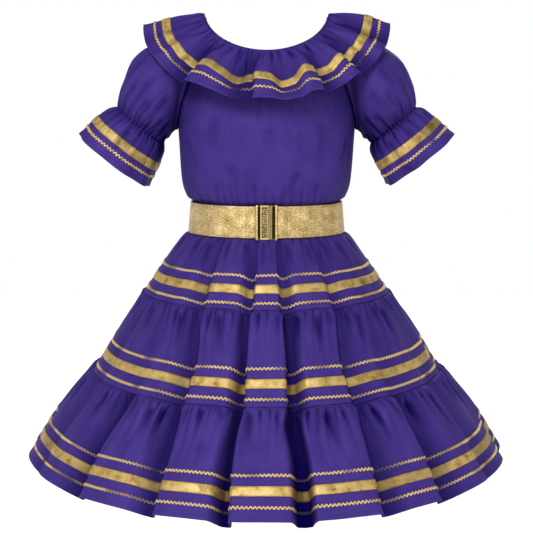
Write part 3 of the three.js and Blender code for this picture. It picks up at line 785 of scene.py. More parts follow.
def tier_grid(index, edge_above, angles_above, counts):
    tier = TIERS[index]
    starts = np.array([fold[index] for fold in SKIRT_FOLDS], float)
    shapes = [list(fold[5:]) for fold in SKIRT_FOLDS]
    for fold, shape in zip(SKIRT_FOLDS, shapes):
        shape[0] *= (fold[3], fold[4], 1)[index]
    if index == 2:
        shapes[TURNING_FOLD][1] *= -1
    angles, dips, shifts, painted_shades = fold_columns(
        starts, shapes, counts, tier["softness"], LEAN, tier["spread"]
    )
    if edge_above is None:
        angles_above = angles
        edge_above = ellipse(*WAIST_EDGE, angles)
    first, second = tier["sections"]
    smooth_rows = np.stack([
        ellipse(first[1], first[2], first[0], angles_above),
        ellipse(second[1], second[2], second[0], angles),
    ])
    folds = np.array([[first[3]], [second[3]]])
    sections = folded(smooth_rows, dips * folds, shifts * folds)
    height, half_width = tier["bottom"]
    scale = half_width / second[1]
    lower = enlarged(sections[1], second[0] + (second[0] - height) / (scale - 1), scale)
    controls = np.stack([edge_above, sections[0], sections[1], lower])
    lengths = length_down(controls)
    shares = row_shares(tier["rows"])
    grid = curve(lengths / lengths[-1], controls, shares)
    zone = lengths[2] / lengths[3]
    growth = [first[3] * 0.8, first[3], second[3], second[3] * scale]
    growth = np.interp(shares * lengths[-1], lengths, growth)
    # Painted shade in the troughs, growing with the folds down the tier
    painted_shade = painted_shades[None, :] * np.minimum(growth[:, None], 1) ** 0.45
    return grid, lower, angles, zone + (1 - zone) * tier["trims"], painted_shade


def tier_relief(index, grid, angles, seed):
    """Gathers under the seam, soft ripples below them, and the turned hem"""
    tier = TIERS[index]
    down, share_down, around, share = measured(grid)
    total = down[-1, 0]
    fine, middle, broad = tier["gathers"]
    reach = 1 + 0.65 * noise(seed + 3, share, 0 * down, int(around / 30), 1)
    relief, painted_shade = gathered([
        (seed, int(around / 6.5), 3, 2 * fine, np.exp(-down / (13 * reach)) * smooth(down / 4)),
        (seed + 10, int(around / 15), 3, 2 * middle, smooth(down / 8) * np.exp(-down / (38 * reach))),
    ], share, share_down)
    waves = noise(seed + 20, share, share_down, int(around / 34), 2)
    calm = 1 - 0.55 * smooth((share_down - 0.55) / 0.2)
    relief = relief + broad * waves * smooth(down / 30) * calm
    relief = relief - 1.3 * np.exp(-down / 2.2) + 1.7 * down / 9 * np.exp(1 - down / 9)
    relief = relief + turned_hem(down, total, 0.45, 8)
    size = (around_middle(grid)[-1], total)
    creases = pressed(np.degrees(angles), share_down, size, TIER_CREASES[tier["name"]])
    # Painted shade in the gathers' valleys, in the broad waves' troughs and in the creases
    painted_shade = tier["gather_shade_strength"] * painted_shade + np.clip(-waves, 0, 1) * 0.12 * smooth(down / 30)
    return relief + creases, painted_shade + 1.3 * crease_painted_shade(creases)


def tucked_rows(grid, above):
    """The upper edge of a tier goes on behind what it hangs from"""
    if above is None:
        return [grid[0] + unit(grid[0] - grid[3]) * TUCK_LENGTH - grid_normals(grid, True)[0] * 1.2]
    inwards = -grid_normals(above, True)
    to_hem = length_down(above)[-1] - length_down(above)
    rows = []
    for distance, gap in ((TUCK_LENGTH, 1.0), (1.5, 0.2)):
        row = int(np.argmin(np.abs(to_hem - distance)))
        rows.append(above[row] + inwards[row] * (CLOTH_WALL + gap))
    return rows


def side_column(angles, side):
    away = np.angle(np.exp(1j * (angles - math.radians(side))))
    return int(np.argmin(np.abs(away)))


def make_skirt():
    mean_starts = np.array([sum(fold[:3]) / 3 for fold in SKIRT_FOLDS])
    counts = lobe_counts(mean_starts, SKIRT_COLUMNS)
    edge, angles, above = None, None, None
    for index, tier in enumerate(TIERS):
        name = tier["name"]
        grid, edge, angles, trims, painted_shade = tier_grid(index, edge, angles, counts)
        relief, gather_painted_shade = tier_relief(index, grid, angles, 100 + 40 * index)
        grid = raised(grid, relief)
        painted_shade = np.clip(painted_shade + gather_painted_shade * (1 - painted_shade), 0, 1)
        tuck = tucked_rows(grid, above)
        whole = length_down(grid)[-1]
        grid = np.concatenate([tuck, grid])
        above = grid
        painted_shade = np.concatenate([painted_shade[:1]] * len(tuck) + [painted_shade])
        tucked = length_down(grid)[-1] - whole
        trims = (trims * whole + tucked) / (whole + tucked)
        at_trims = painted_shade[int(trims * (len(grid) - 1))]
        trim_pieces = [ribbon_on(f"ribbon.{name}", f"{name}_ribbon", grid, trims, 300 + index,
                                 banded(at_trims, 330 + index, 40, 0.5))]
        for level, seed, side in (("upper", 310, -1), ("lower", 320, 1)):
            trim_pieces.append(rickrack_on(
                f"rickrack.{name}_{level}", f"{name}_rickrack_{level}", grid, trims,
                side * RICKRACK_FROM_RIBBON, seed + index, at_trims,
            ))
        normals = grid_normals(grid, True)
        around = around_middle(grid)
        right, left = side_column(angles, -90), side_column(angles, 90)
        halves = {
            "front": np.arange(right, left + 1),
            "back": np.arange(left, right + SKIRT_COLUMNS + 1),
        }
        for half, columns in halves.items():
            turns, columns = columns // SKIRT_COLUMNS, columns % SKIRT_COLUMNS
            out = normals[:, columns]
            side_seam = 0.7 * np.exp(-from_ends(len(columns)) / 0.8)
            part = grid[:, columns] - out * side_seam[None, :, None]
            cloth = shell(f"cloth.{name}_{half}", f"{name}_{half}", part, False, painted_shade[:, columns],
                          out, around[columns] + turns * around[-1])


# Half width and half depth
WAISTBAND_TOP = (124.8, 93.7)
WAISTBAND_BOTTOM = (128.9, 97.4)


def band_grid(top, bottom, shares, angles):
    """Rows from one oval down to another, as high as the belt in all"""
    shares = shares[:, None]
    half_width, half_depth = (a + (b - a) * shares for a, b in zip(top, bottom))
    return ellipse(half_width, half_depth, BELT_HEIGHT * (0.5 - shares), angles)


def make_waistband():
    angles = np.linspace(0, TURN, 160, endpoint=False)
    grid = band_grid(WAISTBAND_TOP, WAISTBAND_BOTTOM, np.linspace(0, 1, 14), angles)
    band = shell("cloth.waistband", "skirt_waistband", grid, True)


# Blouse body

# Half width and half depth
NECK_OVAL = (104, 80)
NECK_SIDE_HEIGHT = 331
NECK_DIP = 62
NECK_POWER = 1.2
NECK_CORNER = 58
CHEST_ROUND = 920
BODY_SECTIONS = np.array([
    # height, half width, half depth
    (146, 148.5, 115), (60, 142, 110), (36, 135, 103.5), (29.5, 128, 96.5), (26.5, 121.9, 90.8),
    (-24, 125.4, 94), (-84, 120, 88),
])
RAGLAN_SECTIONS = np.array([
    # share of the way from the chest to the neck, angle of the seam, outward bulge
    (0, 90, 0), (0.12, 74, 8), (0.3, 66, 16), (0.52, 61, 19), (0.76, 59, 12), (1, 58, 0),
])
FRONT_SHARE = 0.5
# Rows between which the bend at the chest is softened
BEND_ROWS = slice(30, 110)

# Creases of the blouse's front and back, with angles from the middle of each
BODICE_CREASES = {
    "front": [
        (0, 36, 2, 52, -2.6, 9), (22, 55, 12, 68, -3.8, 7), (-25, 52, -18, 66, -3.2, 9),
        (-41, 30, -36, 55, -3.8, 14), (41, 32, 36, 58, -3.8, 14), (-65, 42, -50, 56, -3.4, 8),
        (67, 42, 52, 57, -3.4, 8), (-9, 60, -7, 69.5, -2.8, 5), (9, 62, 8, 69.5, 2.2, 5),
        (-36, 61, -34, 69.5, -3.2, 5), (36, 60, 34, 69.5, -3.2, 5), (-54, 58, -48, 69, 2.6, 7),
        (54, 60, 49, 69, 2.6, 7), (-16, 36, -17, 50, 2.4, 12), (19, 38, 20, 52, 2.4, 12),
    ],
    "back": [
        (-3, 34, -4, 54, -3, 10), (20, 34, 24, 60, -3.8, 13), (-24, 32, -22, 58, -3.8, 13),
        (44, 36, 36, 60, -3.4, 11), (-46, 38, -40, 62, -3.4, 11), (66, 42, 52, 58, -3.2, 8),
        (-64, 44, -50, 56, -3.2, 8), (10, 58, 9, 69.5, -3, 5), (-12, 60, -11, 69.5, -3, 5),
        (32, 60, 31, 69.5, 2.4, 6), (-34, 59, -33, 69.5, 2.4, 6),
    ],
}


def neck_points(angle):
    height = NECK_SIDE_HEIGHT - NECK_DIP * np.abs(np.cos(angle)) ** NECK_POWER
    return ellipse(*NECK_OVAL, height, angle)


def raglan_points(share, angle):
    outwards = curve(RAGLAN_SECTIONS[:, 0], RAGLAN_SECTIONS[:, 2], share)
    height, half_width, half_depth = BODY_SECTIONS[0]
    chest = ellipse(half_width, half_depth, height, angle)
    points = chest + (neck_points(angle) - chest) * share[..., None]
    points[..., 0] += outwards * np.sin(angle)
    points[..., 1] -= outwards * FRONT_SHARE * np.cos(angle)
    return points


def seam_angle(share):
    return curve(RAGLAN_SECTIONS[:, 0], RAGLAN_SECTIONS[:, 1], share)


def bodice_grid(facing, columns):
    spread = np.linspace(-1, 1, columns)
    shares = np.linspace(1, 0, 66)
    angles = np.radians(facing + seam_angle(shares)[:, None] * spread)
    upper = raglan_points(np.broadcast_to(shares[:, None], angles.shape), angles)
    heights = np.concatenate([np.linspace(143, 24, 50), np.linspace(21, -84, 16)])
    sizes = curve(BODY_SECTIONS[::-1, 0], BODY_SECTIONS[::-1, 1:], heights)
    angles = np.radians(facing + 90 * spread)[None, :]
    lower = ellipse(sizes[:, :1], sizes[:, 1:], heights[:, None], angles)
    grid = np.concatenate([upper, lower])
    # The seams keep their bend
    weight = (1 - np.abs(spread) ** 6)[None, :, None] * 0.5
    for _ in range(60):
        change = ((grid[:-2] + grid[2:]) / 2 - grid[1:-1]) * weight
        grid[1:-1][BEND_ROWS] += change[BEND_ROWS]
    return grid


def bodice_relief(grid, facing, seed):
    down = length_down(grid)[:, None]
    total = down[-1, 0]
    share_down = down / total
    columns = grid.shape[1]
    share = np.linspace(0, 0.5, columns)[None, :]
    degrees = np.linspace(-90, 90, columns)[None, :]
    z = grid[..., 2]
    from_seam = from_ends(columns)[None, :]
    # Gathers at the neck elastic fade into long soft drapes, and fullness blouses over the belt
    over_belt = np.exp(-np.maximum(z - 30, 0) / 20) * smooth((z - 22) / 6)
    relief, painted_shade = gathered([
        (seed, 130, 4, 2.4, np.exp(-down / 16)),
        (seed + 7, 44, 3, 2.6, smooth(down / 12) * np.exp(-down / 60)),
        (seed + 13, 58, 3, 1.5, 0.8 * over_belt),
    ], share, share_down)
    broad = noise(seed + 9, share, share_down, 18, 5)
    relief = (relief + 1.8 * broad * smooth(down / 60)) * smooth(from_seam / 5)
    creases = pressed(degrees, share_down, (CHEST_ROUND, total), BODICE_CREASES[facing])
    # Painted shade in the gathers, broad waves and creases, a little all over, and more towards the side
    # seams, where the body turns away from the light
    painted_shade = 0.5 * painted_shade + 0.1 * np.clip(-broad, 0, 1) + 0.5 * crease_painted_shade(creases)
    painted_shade = painted_shade + 0.06 + 0.5 * mound(from_seam, 3) + 0.36 * mound(from_seam, 20)
    relief = relief - 0.9 * mound(from_seam, 1.1) + creases * smooth(from_seam / 4)
    return relief, np.clip(painted_shade, 0, 1)


def make_bodice():
    for facing, angle, seed in (("front", 0, 500), ("back", 180, 540)):
        grid = bodice_grid(angle, 130)
        relief, painted_shade = bodice_relief(grid, facing, seed)
        grid = raised(grid, relief, False)
        cloth = shell(f"cloth.bodice_{facing}", f"bodice_{facing}", grid, False, painted_shade)


# Sleeves

# Where the elastic gathers the sleeve, with its half width and half depth
GATHER_CENTRE = np.array([212, 0, 154])
GATHER_OVAL = (48.5, 46)
SLEEVE_AXIS = unit(np.array([0.616, 0, -0.787]))
SLEEVE_OUTER = unit(np.array([0.787, 0, 0.616]))
BACKWARDS = np.array([0.0, 1.0, 0.0])
SLEEVE_ROUND = 420
# Share of the way down the puff and share of its fullness there
PUFF_SECTIONS = np.array([(0, 0), (0.12, 0.1), (0.34, 0.74), (0.6, 1), (0.84, 0.6), (1, 0)])
PUFF_TOP = 36
PUFF_SIDES = 12
FLOUNCE_LENGTH = 75
FLOUNCE_DEPTH = 8
FLOUNCE_RIBBON_SHARE = 0.4
SLEEVE_RICKRACK_FROM_RIBBON = 19
SLEEVE_COLUMNS = 252
SEAM_ALLOWANCE = 4
PUFF_ROWS = 50
FLOUNCE_ROWS = 28

# Creases of a sleeve, with percentages of its puff and flounce together. Angles start at the top
# of the shoulder and run over the back, the underarm and the front.
SLEEVE_CREASES = {
    "left": [
        (338, 34, 333, 62, -4.5, 6), (322, 42, 323, 64, -3.6, 5), (308, 30, 311, 60, -4.5, 8),
        (290, 40, 294, 64, -5, 6), (272, 28, 276, 60, -5.5, 9), (255, 42, 258, 63, -4.5, 6),
        (238, 30, 240, 60, -6, 9), (300, 6, 303, 32, 3.2, 9), (268, 8, 270, 30, -3.4, 9),
        (330, 70, 329, 95, -3.2, 6), (305, 69, 304, 92, 3.6, 6), (283, 70, 281, 97, -4.2, 7),
        (262, 69, 262, 93, 3.6, 6), (243, 70, 243, 96, -4, 7), (10, 36, 8, 62, -4.2, 7),
        (40, 30, 44, 61, -5, 8), (66, 42, 68, 64, -4.2, 6), (92, 28, 90, 60, -5.6, 9),
        (118, 40, 116, 63, -4.6, 7), (20, 70, 22, 95, -3.6, 6), (60, 70, 58, 96, -4.2, 7),
        (100, 69, 101, 93, 3.6, 6), (180, 45, 180, 62, -4, 8), (205, 40, 208, 62, -4.6, 8),
        (150, 42, 150, 62, -4.2, 7),
    ],
    "right": [
        (345, 38, 341, 63, -4.2, 6), (328, 32, 326, 60, -4.8, 7), (312, 44, 312, 65, -3.8, 5),
        (297, 30, 301, 62, -5.2, 8), (280, 42, 282, 64, -4.4, 6), (263, 26, 268, 60, -5.6, 9),
        (246, 40, 249, 63, -5, 7), (230, 30, 233, 60, -6, 9), (286, 7, 290, 30, -3.4, 8),
        (316, 5, 316, 28, 3.2, 9), (338, 70, 337, 94, 3.4, 6), (318, 70, 317, 97, -4, 7),
        (296, 69, 295, 92, 3.6, 6), (275, 70, 274, 96, -4.4, 7), (252, 70, 252, 94, 3.4, 6),
        (4, 32, 6, 60, -4.4, 8), (30, 42, 32, 64, -4, 6), (54, 30, 52, 61, -5.2, 9),
        (80, 40, 82, 63, -4.4, 6), (106, 28, 108, 60, -5.4, 9), (12, 70, 13, 96, -3.8, 7),
        (48, 69, 47, 92, 3.4, 6), (86, 70, 85, 96, -4.2, 7), (170, 44, 171, 62, -4.2, 8),
        (200, 40, 201, 62, -4.6, 8),
    ],
}


def sleeve_loop():
    """Where the sleeve meets the neckline and the body, from the neck over the back to the
    underarm and up the front"""
    k = np.arange(SLEEVE_COLUMNS // 2 + 1) / (SLEEVE_COLUMNS // 2) * 7
    neck_angle = np.radians(90 + (90 - NECK_CORNER) * np.clip(k, 0, 2) / 2)
    share = np.interp(k, [2, 3, 4, 5, 6, 7], RAGLAN_SECTIONS[::-1, 0])
    edge = raglan_points(share, np.radians(180 - seam_angle(share)))
    half = np.where(k[:, None] < 2, neck_points(neck_angle), edge)
    front = half[1:-1][::-1] * np.array([1, -1, 1])
    return np.concatenate([half, front]) + np.array([SEAM_GAP, 0, 0])


def sleeve_ring(centre, half_width, half_depth, turn):
    return (centre + SLEEVE_OUTER * (half_width * np.cos(turn))[:, None]
            + BACKWARDS * (half_depth * np.sin(turn))[:, None])


def sleeve_grid(seed):
    loop = sleeve_loop()
    turn = np.arange(SLEEVE_COLUMNS) / SLEEVE_COLUMNS * TURN
    ring = sleeve_ring(GATHER_CENTRE, *GATHER_OVAL, turn)
    shares = np.linspace(0, 1, PUFF_ROWS) ** 0.92
    fullness = PUFF_TOP * (1 + np.cos(turn)) / 2 + PUFF_SIDES * np.sin(turn) ** 2
    outwards = sleeve_ring(0, 1, 1, turn)
    bulge = curve(PUFF_SECTIONS[:, 0], PUFF_SECTIONS[:, 1], shares)
    puff = loop + (ring - loop) * shares[:, None, None]
    puff = puff + outwards * (bulge[:, None] * fullness)[..., None]
    rows = [puff]
    flute = 0.5 - 0.5 * np.cos(7 * turn + 0.7 * np.sin(turn * 2 + seed))
    uneven = 0.75 + 0.35 * noise(seed, turn / TURN, 0 * turn, 7, 1)
    for distance in np.linspace(0, FLOUNCE_LENGTH, FLOUNCE_ROWS + 1)[1:]:
        scale = float(curve([0, 13, FLOUNCE_LENGTH], [1, 1.2, 1.53], np.array([distance]))[0])
        place = GATHER_CENTRE + SLEEVE_AXIS * distance
        dip = FLOUNCE_DEPTH * flute * uneven * smooth(distance / 40) * distance / FLOUNCE_LENGTH
        half_width, half_depth = (half * scale - dip for half in GATHER_OVAL)
        rows.append(sleeve_ring(place, half_width, half_depth, turn)[None])
    return np.concatenate(rows)


def sleeve_relief(grid, side, seed):
    lengths = length_down(grid)
    gather_at = lengths[PUFF_ROWS - 1]
    down = lengths[:, None]
    share_down = down / lengths[-1]
    share = (np.arange(SLEEVE_COLUMNS) / SLEEVE_COLUMNS)[None, :]
    away = down - gather_at
    reach = np.where(away < 0, 17, 13) * (1 + 0.6 * noise(seed + 2, share, 0 * down, 18, 1))
    relief, painted_shade = gathered([
        (seed, 44, 4, 4.0, np.exp(-np.abs(away) / reach)),
        (seed + 5, 20, 3, 4.6, smooth(np.abs(away) / 8) * np.exp(-np.abs(away) / (2.4 * reach))),
    ], share, share_down)
    broad = noise(seed + 9, share, share_down, 11, 6)
    relief = relief + 2.6 * broad * smooth(down / 25)
    relief = relief - 1.6 * mound(away, 3)
    under_collar = smooth((down - 45) / 45)
    relief = relief * under_collar - 0.9 * mound(down, 2)
    relief = relief - 2.5 * (1 - under_collar) * smooth(down / 15)
    relief = relief + turned_hem(down, lengths[-1], 0.45, 7)
    creases = 0.8 * pressed(360 * share, share_down, (SLEEVE_ROUND, lengths[-1]), SLEEVE_CREASES[side])
    # Painted shade in the gathers, broad waves and creases
    painted_shade = 0.5 * painted_shade + 0.2 * np.clip(-broad, 0, 1) + 0.6 * crease_painted_shade(creases)
    # The underarm, where the cloth lies against the body, gets the deepest painted shade, and the gather
    # line some too
    underarm = mound(share - 0.5, 0.17) * (1 - smooth((share_down - 0.68) / 0.2))
    painted_shade = np.clip(painted_shade + 0.75 * underarm + 0.4 * mound(away, 3), 0, 1)
    return relief + creases * under_collar, painted_shade


def make_sleeves():
    for side, seed in (("left", 600), ("right", 640)):
        grid = sleeve_grid(seed)
        relief, painted_shade = sleeve_relief(grid, side, seed)
        grid = raised(grid, relief)
        # The seam allowance lies behind the edge of the body
        behind = unit(grid[0] - grid[2]) * SEAM_ALLOWANCE - grid_normals(grid, True)[0] * 1.6
        grid = np.concatenate([[grid[0] + behind], grid])
        painted_shade = np.concatenate([painted_shade[:1], painted_shade])
        if side == "right":
            grid = (grid * np.array([-1, 1, 1]))[:, ::-1]
            painted_shade = painted_shade[:, ::-1]
        cloth = shell(f"cloth.sleeve_{side}", f"sleeve_{side}", grid, True, painted_shade)
        lengths = length_down(grid)
        flounce_from = lengths[PUFF_ROWS + 5]
        ribbon_at = flounce_from + FLOUNCE_RIBBON_SHARE * (lengths[-1] - flounce_from)
        share = ribbon_at / lengths[-1]
        at_ribbon = painted_shade[np.searchsorted(lengths, ribbon_at)]
        trim_pieces = [
            ribbon_on(f"ribbon.sleeve_{side}", f"sleeve_ribbon_{side}", grid, share, seed + 30,
                      banded(0.6 * at_ribbon, seed + 32, 13, 0.75)),
            rickrack_on(f"rickrack.sleeve_{side}", f"sleeve_rickrack_{side}", grid, share,
                        SLEEVE_RICKRACK_FROM_RIBBON, seed + 31, at_ribbon),
        ]


# Neck casing and collar

CASING_HEIGHT = 8
CASING_WALL = 2
COLLAR_STAND = 0.7
# Half width and half depth of the ring that the free edge is enlarged from, and how far it is
# enlarged from a point at what height
COLLAR_ZONE = (140, 103)
COLLAR_SCALE = 205 / 140
COLLAR_APEX = 370
COLLAR_SIDE_HEIGHT = 321
COLLAR_DIP = 119
COLLAR_RIBBON_SHARE = 0.42
COLLAR_RICKRACK_FROM_RIBBON = 21
COLLAR_ROWS = 34
COLLAR_CREASES = [
    (-60, 3, -64, 35, -2.8, 4), (-48, 3, -51, 30, -3.2, 5), (-38, 4, -41, 42, -3.2, 6),
    (-27, 3, -29, 30, -2.8, 4), (-19, 3, -20.5, 45, -3.6, 6), (-12, 2, -12.5, 30, -2.6, 4),
    (-3, 3, -3.5, 35, -3.2, 5), (5, 3, 5, 40, -3.2, 5), (11, 2, 12, 28, -2.6, 4), (18, 3, 20, 42, -3.6, 6),
    (25, 3, 27, 30, -2.8, 4), (34, 3, 37, 40, -3.4, 6), (44, 3, 47, 32, -2.8, 4), (56, 4, 60, 42, -3.4, 6),
    (72, 3, 76, 34, -3, 5), (95, 3, 98, 42, -3.4, 6), (120, 4, 121, 35, -3, 5), (146, 3, 147, 42, -3.4, 6),
    (171, 3, 172, 35, -3, 5), (-165, 3, -166, 42, -3.4, 6), (-141, 4, -142, 35, -3, 5),
    (-117, 3, -118, 42, -3.4, 6), (-93, 3, -95, 35, -3, 5), (-76, 3, -79, 42, -3.2, 6),
]
# How far the collar's waves lower it at the ribbon, by angle from the centre front
COLLAR_WAVES = np.array([
    (-180, 4), (-165, -6), (-150, 5), (-135, -4), (-120, 6), (-105, -5), (-90, 3), (-80, 4), (-73, -4),
    (-67, 5), (-61, -3), (-55, 7), (-49, 3), (-43, 3), (-37, -5), (-32, -8), (-27, -2), (-17, 9), (-9, -1),
    (-4.6, -3), (2, 0), (9, 14), (15.7, 11), (20.9, -8), (25.6, -3), (30.6, 3), (38, 9), (44, -5), (50, 5),
    (56, -4), (61, 5), (66, -4), (72, 4), (80, 2), (95, -4), (110, 5), (125, -5), (140, 6), (155, -4),
    (168, 5), (180, 4),
])
WAVE_OUTWARDS = 0.5


def make_casing():
    angles = np.linspace(0, TURN, COLLAR_COLUMNS, endpoint=False)
    share = (angles / TURN)[None, :]
    rises = np.linspace(CASING_HEIGHT - 2, SEAM_GAP, 7)
    base = neck_points(angles)
    grid = np.stack([base + np.array([0, 0, rise]) for rise in rises])
    down = np.linspace(0, 1, 7)[:, None]
    gathers = ripples(700, share, down, 116, 2)
    out = unit(base * np.array([1, 1, 0]))
    grid = grid + out * (0.4 * (1 - down) + (gathers - 0.45) * 0.4)[..., None]
    grid[..., 2] += (gathers - 0.5) * 1.6 * (1 - down) ** 2
    band = shell("cloth.neck_casing", "neck_casing", grid, True, wall=CASING_WALL)


def collar_grid():
    starts = np.array([fold[0] for fold in COLLAR_FOLDS], float)
    shapes = [fold[1:] for fold in COLLAR_FOLDS]
    counts = lobe_counts(starts, COLLAR_COLUMNS)
    angles, dips, shifts, painted_shades = fold_columns(starts, shapes, counts, 1.0, 0.2)
    seam = neck_points(angles)
    seam = seam + COLLAR_STAND * np.stack([np.sin(angles), -np.cos(angles), 0 * angles], axis=-1)
    seam[:, 2] += CASING_HEIGHT - 1.2
    edge_height = COLLAR_SIDE_HEIGHT - COLLAR_DIP * np.abs(np.cos(angles))
    zone = ellipse(*COLLAR_ZONE, COLLAR_APEX + (edge_height - COLLAR_APEX) / COLLAR_SCALE, angles)
    edge = enlarged(zone, COLLAR_APEX, COLLAR_SCALE)
    share = np.array([[1 / COLLAR_SCALE], [1.0]])
    upper, lower = folded(np.stack([zone, edge]), dips * share, shifts * share)
    controls = np.stack([seam, upper, lower])
    lengths = length_down(controls)
    shares = np.linspace(0, 1, COLLAR_ROWS) ** 1.1
    grid = curve(lengths / lengths[-1], controls, shares)
    zone_at = lengths[1] / lengths[2]
    ribbon_at = zone_at + (1 - zone_at) * COLLAR_RIBBON_SHARE
    turned = (np.degrees(angles) + 180) % 360 - 180
    drop = curve(COLLAR_WAVES[:, 0], COLLAR_WAVES[:, 1], turned)
    strength = smooth(shares / ribbon_at) * (1 - 0.6 * smooth((shares - ribbon_at) / (1 - ribbon_at)))
    wave = strength[:, None] * drop[None, :]
    grid[..., 2] -= wave
    grid[..., 0] -= wave * WAVE_OUTWARDS * np.sin(angles)
    grid[..., 1] += wave * WAVE_OUTWARDS * np.cos(angles)
    # Painted shade in the troughs, and where the waves drop
    painted_shade = painted_shades[None, :] * smooth(shares / zone_at)[:, None] * 0.7
    painted_shade = painted_shade + 0.35 * np.clip(wave / 14, 0, 1)
    return grid, ribbon_at, angles, painted_shade


def make_collar():
    grid, ribbon_share, angles, painted_shade = collar_grid()
    down, share_down, _, share = measured(grid)
    total = down[-1, 0]
    reach = 1 + 0.6 * noise(720, share, 0 * down, 22, 1)
    relief, gather_painted_shade = gathered([
        (721, 104, 3, 2.8, np.exp(-down / (14 * reach))),
        (725, 46, 2, 3.6, smooth(down / 10) * np.exp(-down / (34 * reach))),
    ], share, share_down)
    relief = relief + 1.6 * noise(731, share, share_down, 26, 2) * smooth(down / 25)
    relief = relief + turned_hem(down, total, 0.4, 6)
    size = (around_middle(grid)[-1], total)
    creases = pressed(np.degrees(angles), share_down, size, COLLAR_CREASES)
    grid = raised(grid, (relief + creases) * smooth(down / 5))
    # Painted shade in the gathers and creases, and along the seam under the casing
    painted_shade = np.clip(painted_shade + 0.5 * gather_painted_shade + crease_painted_shade(creases), 0, 1)
    painted_shade = np.clip(painted_shade + 0.5 * np.exp(-down / 2), 0, 1)
    cloth = shell("cloth.collar", "collar_ruffle", grid, True, painted_shade)
    at_ribbon = painted_shade[np.searchsorted(down[:, 0], ribbon_share * total)]
    trim_pieces = [
        ribbon_on("ribbon.collar", "collar_ribbon", grid, ribbon_share, 740,
                  banded(0.6 * at_ribbon, 742, 36, 0.5)),
        rickrack_on("rickrack.collar", "collar_rickrack", grid, ribbon_share,
                    COLLAR_RICKRACK_FROM_RIBBON, 741, at_ribbon),
    ]


# Belt and clasp

BELT_WALL = 2.6
# Half width and half depth
BELT_TOP = (128.6, 97.5)
BELT_BOTTOM = (133, 101.5)
CLASP_HALF_WIDTH = 17.5
CLASP_HEIGHT = 57
CLASP_WALL = 2.4
# Where the halves meet and where each slot is, from the middle
CLASP_MEETING = 3.2
SLOT_FROM = 10
SLOT_TO = 14
RAIL_HEIGHT = 3.5
KNOB_STEPS = (2.7, 3.2)
KNOB_SIZES = (0.9, 1.4)
KNOB_HEIGHT = 0.45
KNOB_STRAY = 0.4
# From the end of the belt, under the clasp: where the folded end shows, its length and its stitches
FOLD_FROM = 8
FOLD_LENGTH = 14
STITCHES_AT = 19.5


def make_belt():
    columns, rows = 420, 22
    end = math.asin((SLOT_FROM + 0.3) / BELT_BOTTOM[0])
    angles = np.linspace(end, TURN - end, columns)
    share_down = crowded(np.linspace(0, 1, rows), 0.7)
    grid = band_grid(BELT_TOP, BELT_BOTTOM, share_down, angles)
    around = around_middle(grid, False)
    from_end = np.minimum(around, around[-1] - around)[None, :]
    down = (share_down * BELT_HEIGHT)[:, None]
    edge = np.minimum(down, BELT_HEIGHT - down)
    relief = -0.7 * (1 - smooth(edge / 1.6)) - 0.35 * mound(edge - 3.2, 0.7)
    fold_end = (from_end > FOLD_FROM) & (from_end < FOLD_FROM + FOLD_LENGTH)
    relief = relief + np.where(fold_end, 0.9, 0) - 0.5 * mound(from_end - STITCHES_AT, 0.9)
    share = (around / around[-1])[None, :]
    relief = relief + 0.35 * noise(800, share, share_down[:, None], 60, 3) * smooth(edge / 6)
    grid = raised(grid, relief, False)
    # Painted shade: the ends, which lie in the clasp's slots, are darkened, and a line of painted shade
    # lies beside each folded end and along the stitches
    beyond_fold = from_end - FOLD_FROM - FOLD_LENGTH - 0.4
    painted_shade = 1 - smooth((from_end - 4) / 0.5) + 0.45 * mound(beyond_fold, 0.8)
    painted_shade = np.clip(painted_shade + 0.3 * mound(from_end - STITCHES_AT, 0.7), 0, 1)
    band = shell("belt.band", "belt_band", grid, False, painted_shade, slot="gold_belt", wall=BELT_WALL)


def rounded_block(body, low, high, radius):
    """Adds a block with rounded edges to a bmesh, in millimetres"""
    made = bmesh.ops.create_cube(body, size=1)
    low, high = np.array(low, float), np.array(high, float)
    for corner in made["verts"]:
        corner.co = [l + (c + 0.5) * (h - l) for c, l, h in zip(corner.co, low, high)]
    edges = list(dict.fromkeys(edge for corner in made["verts"] for edge in corner.link_edges))
    bmesh.ops.bevel(body, geom=edges, offset=radius, segments=3, profile=0.6, affect="EDGES")


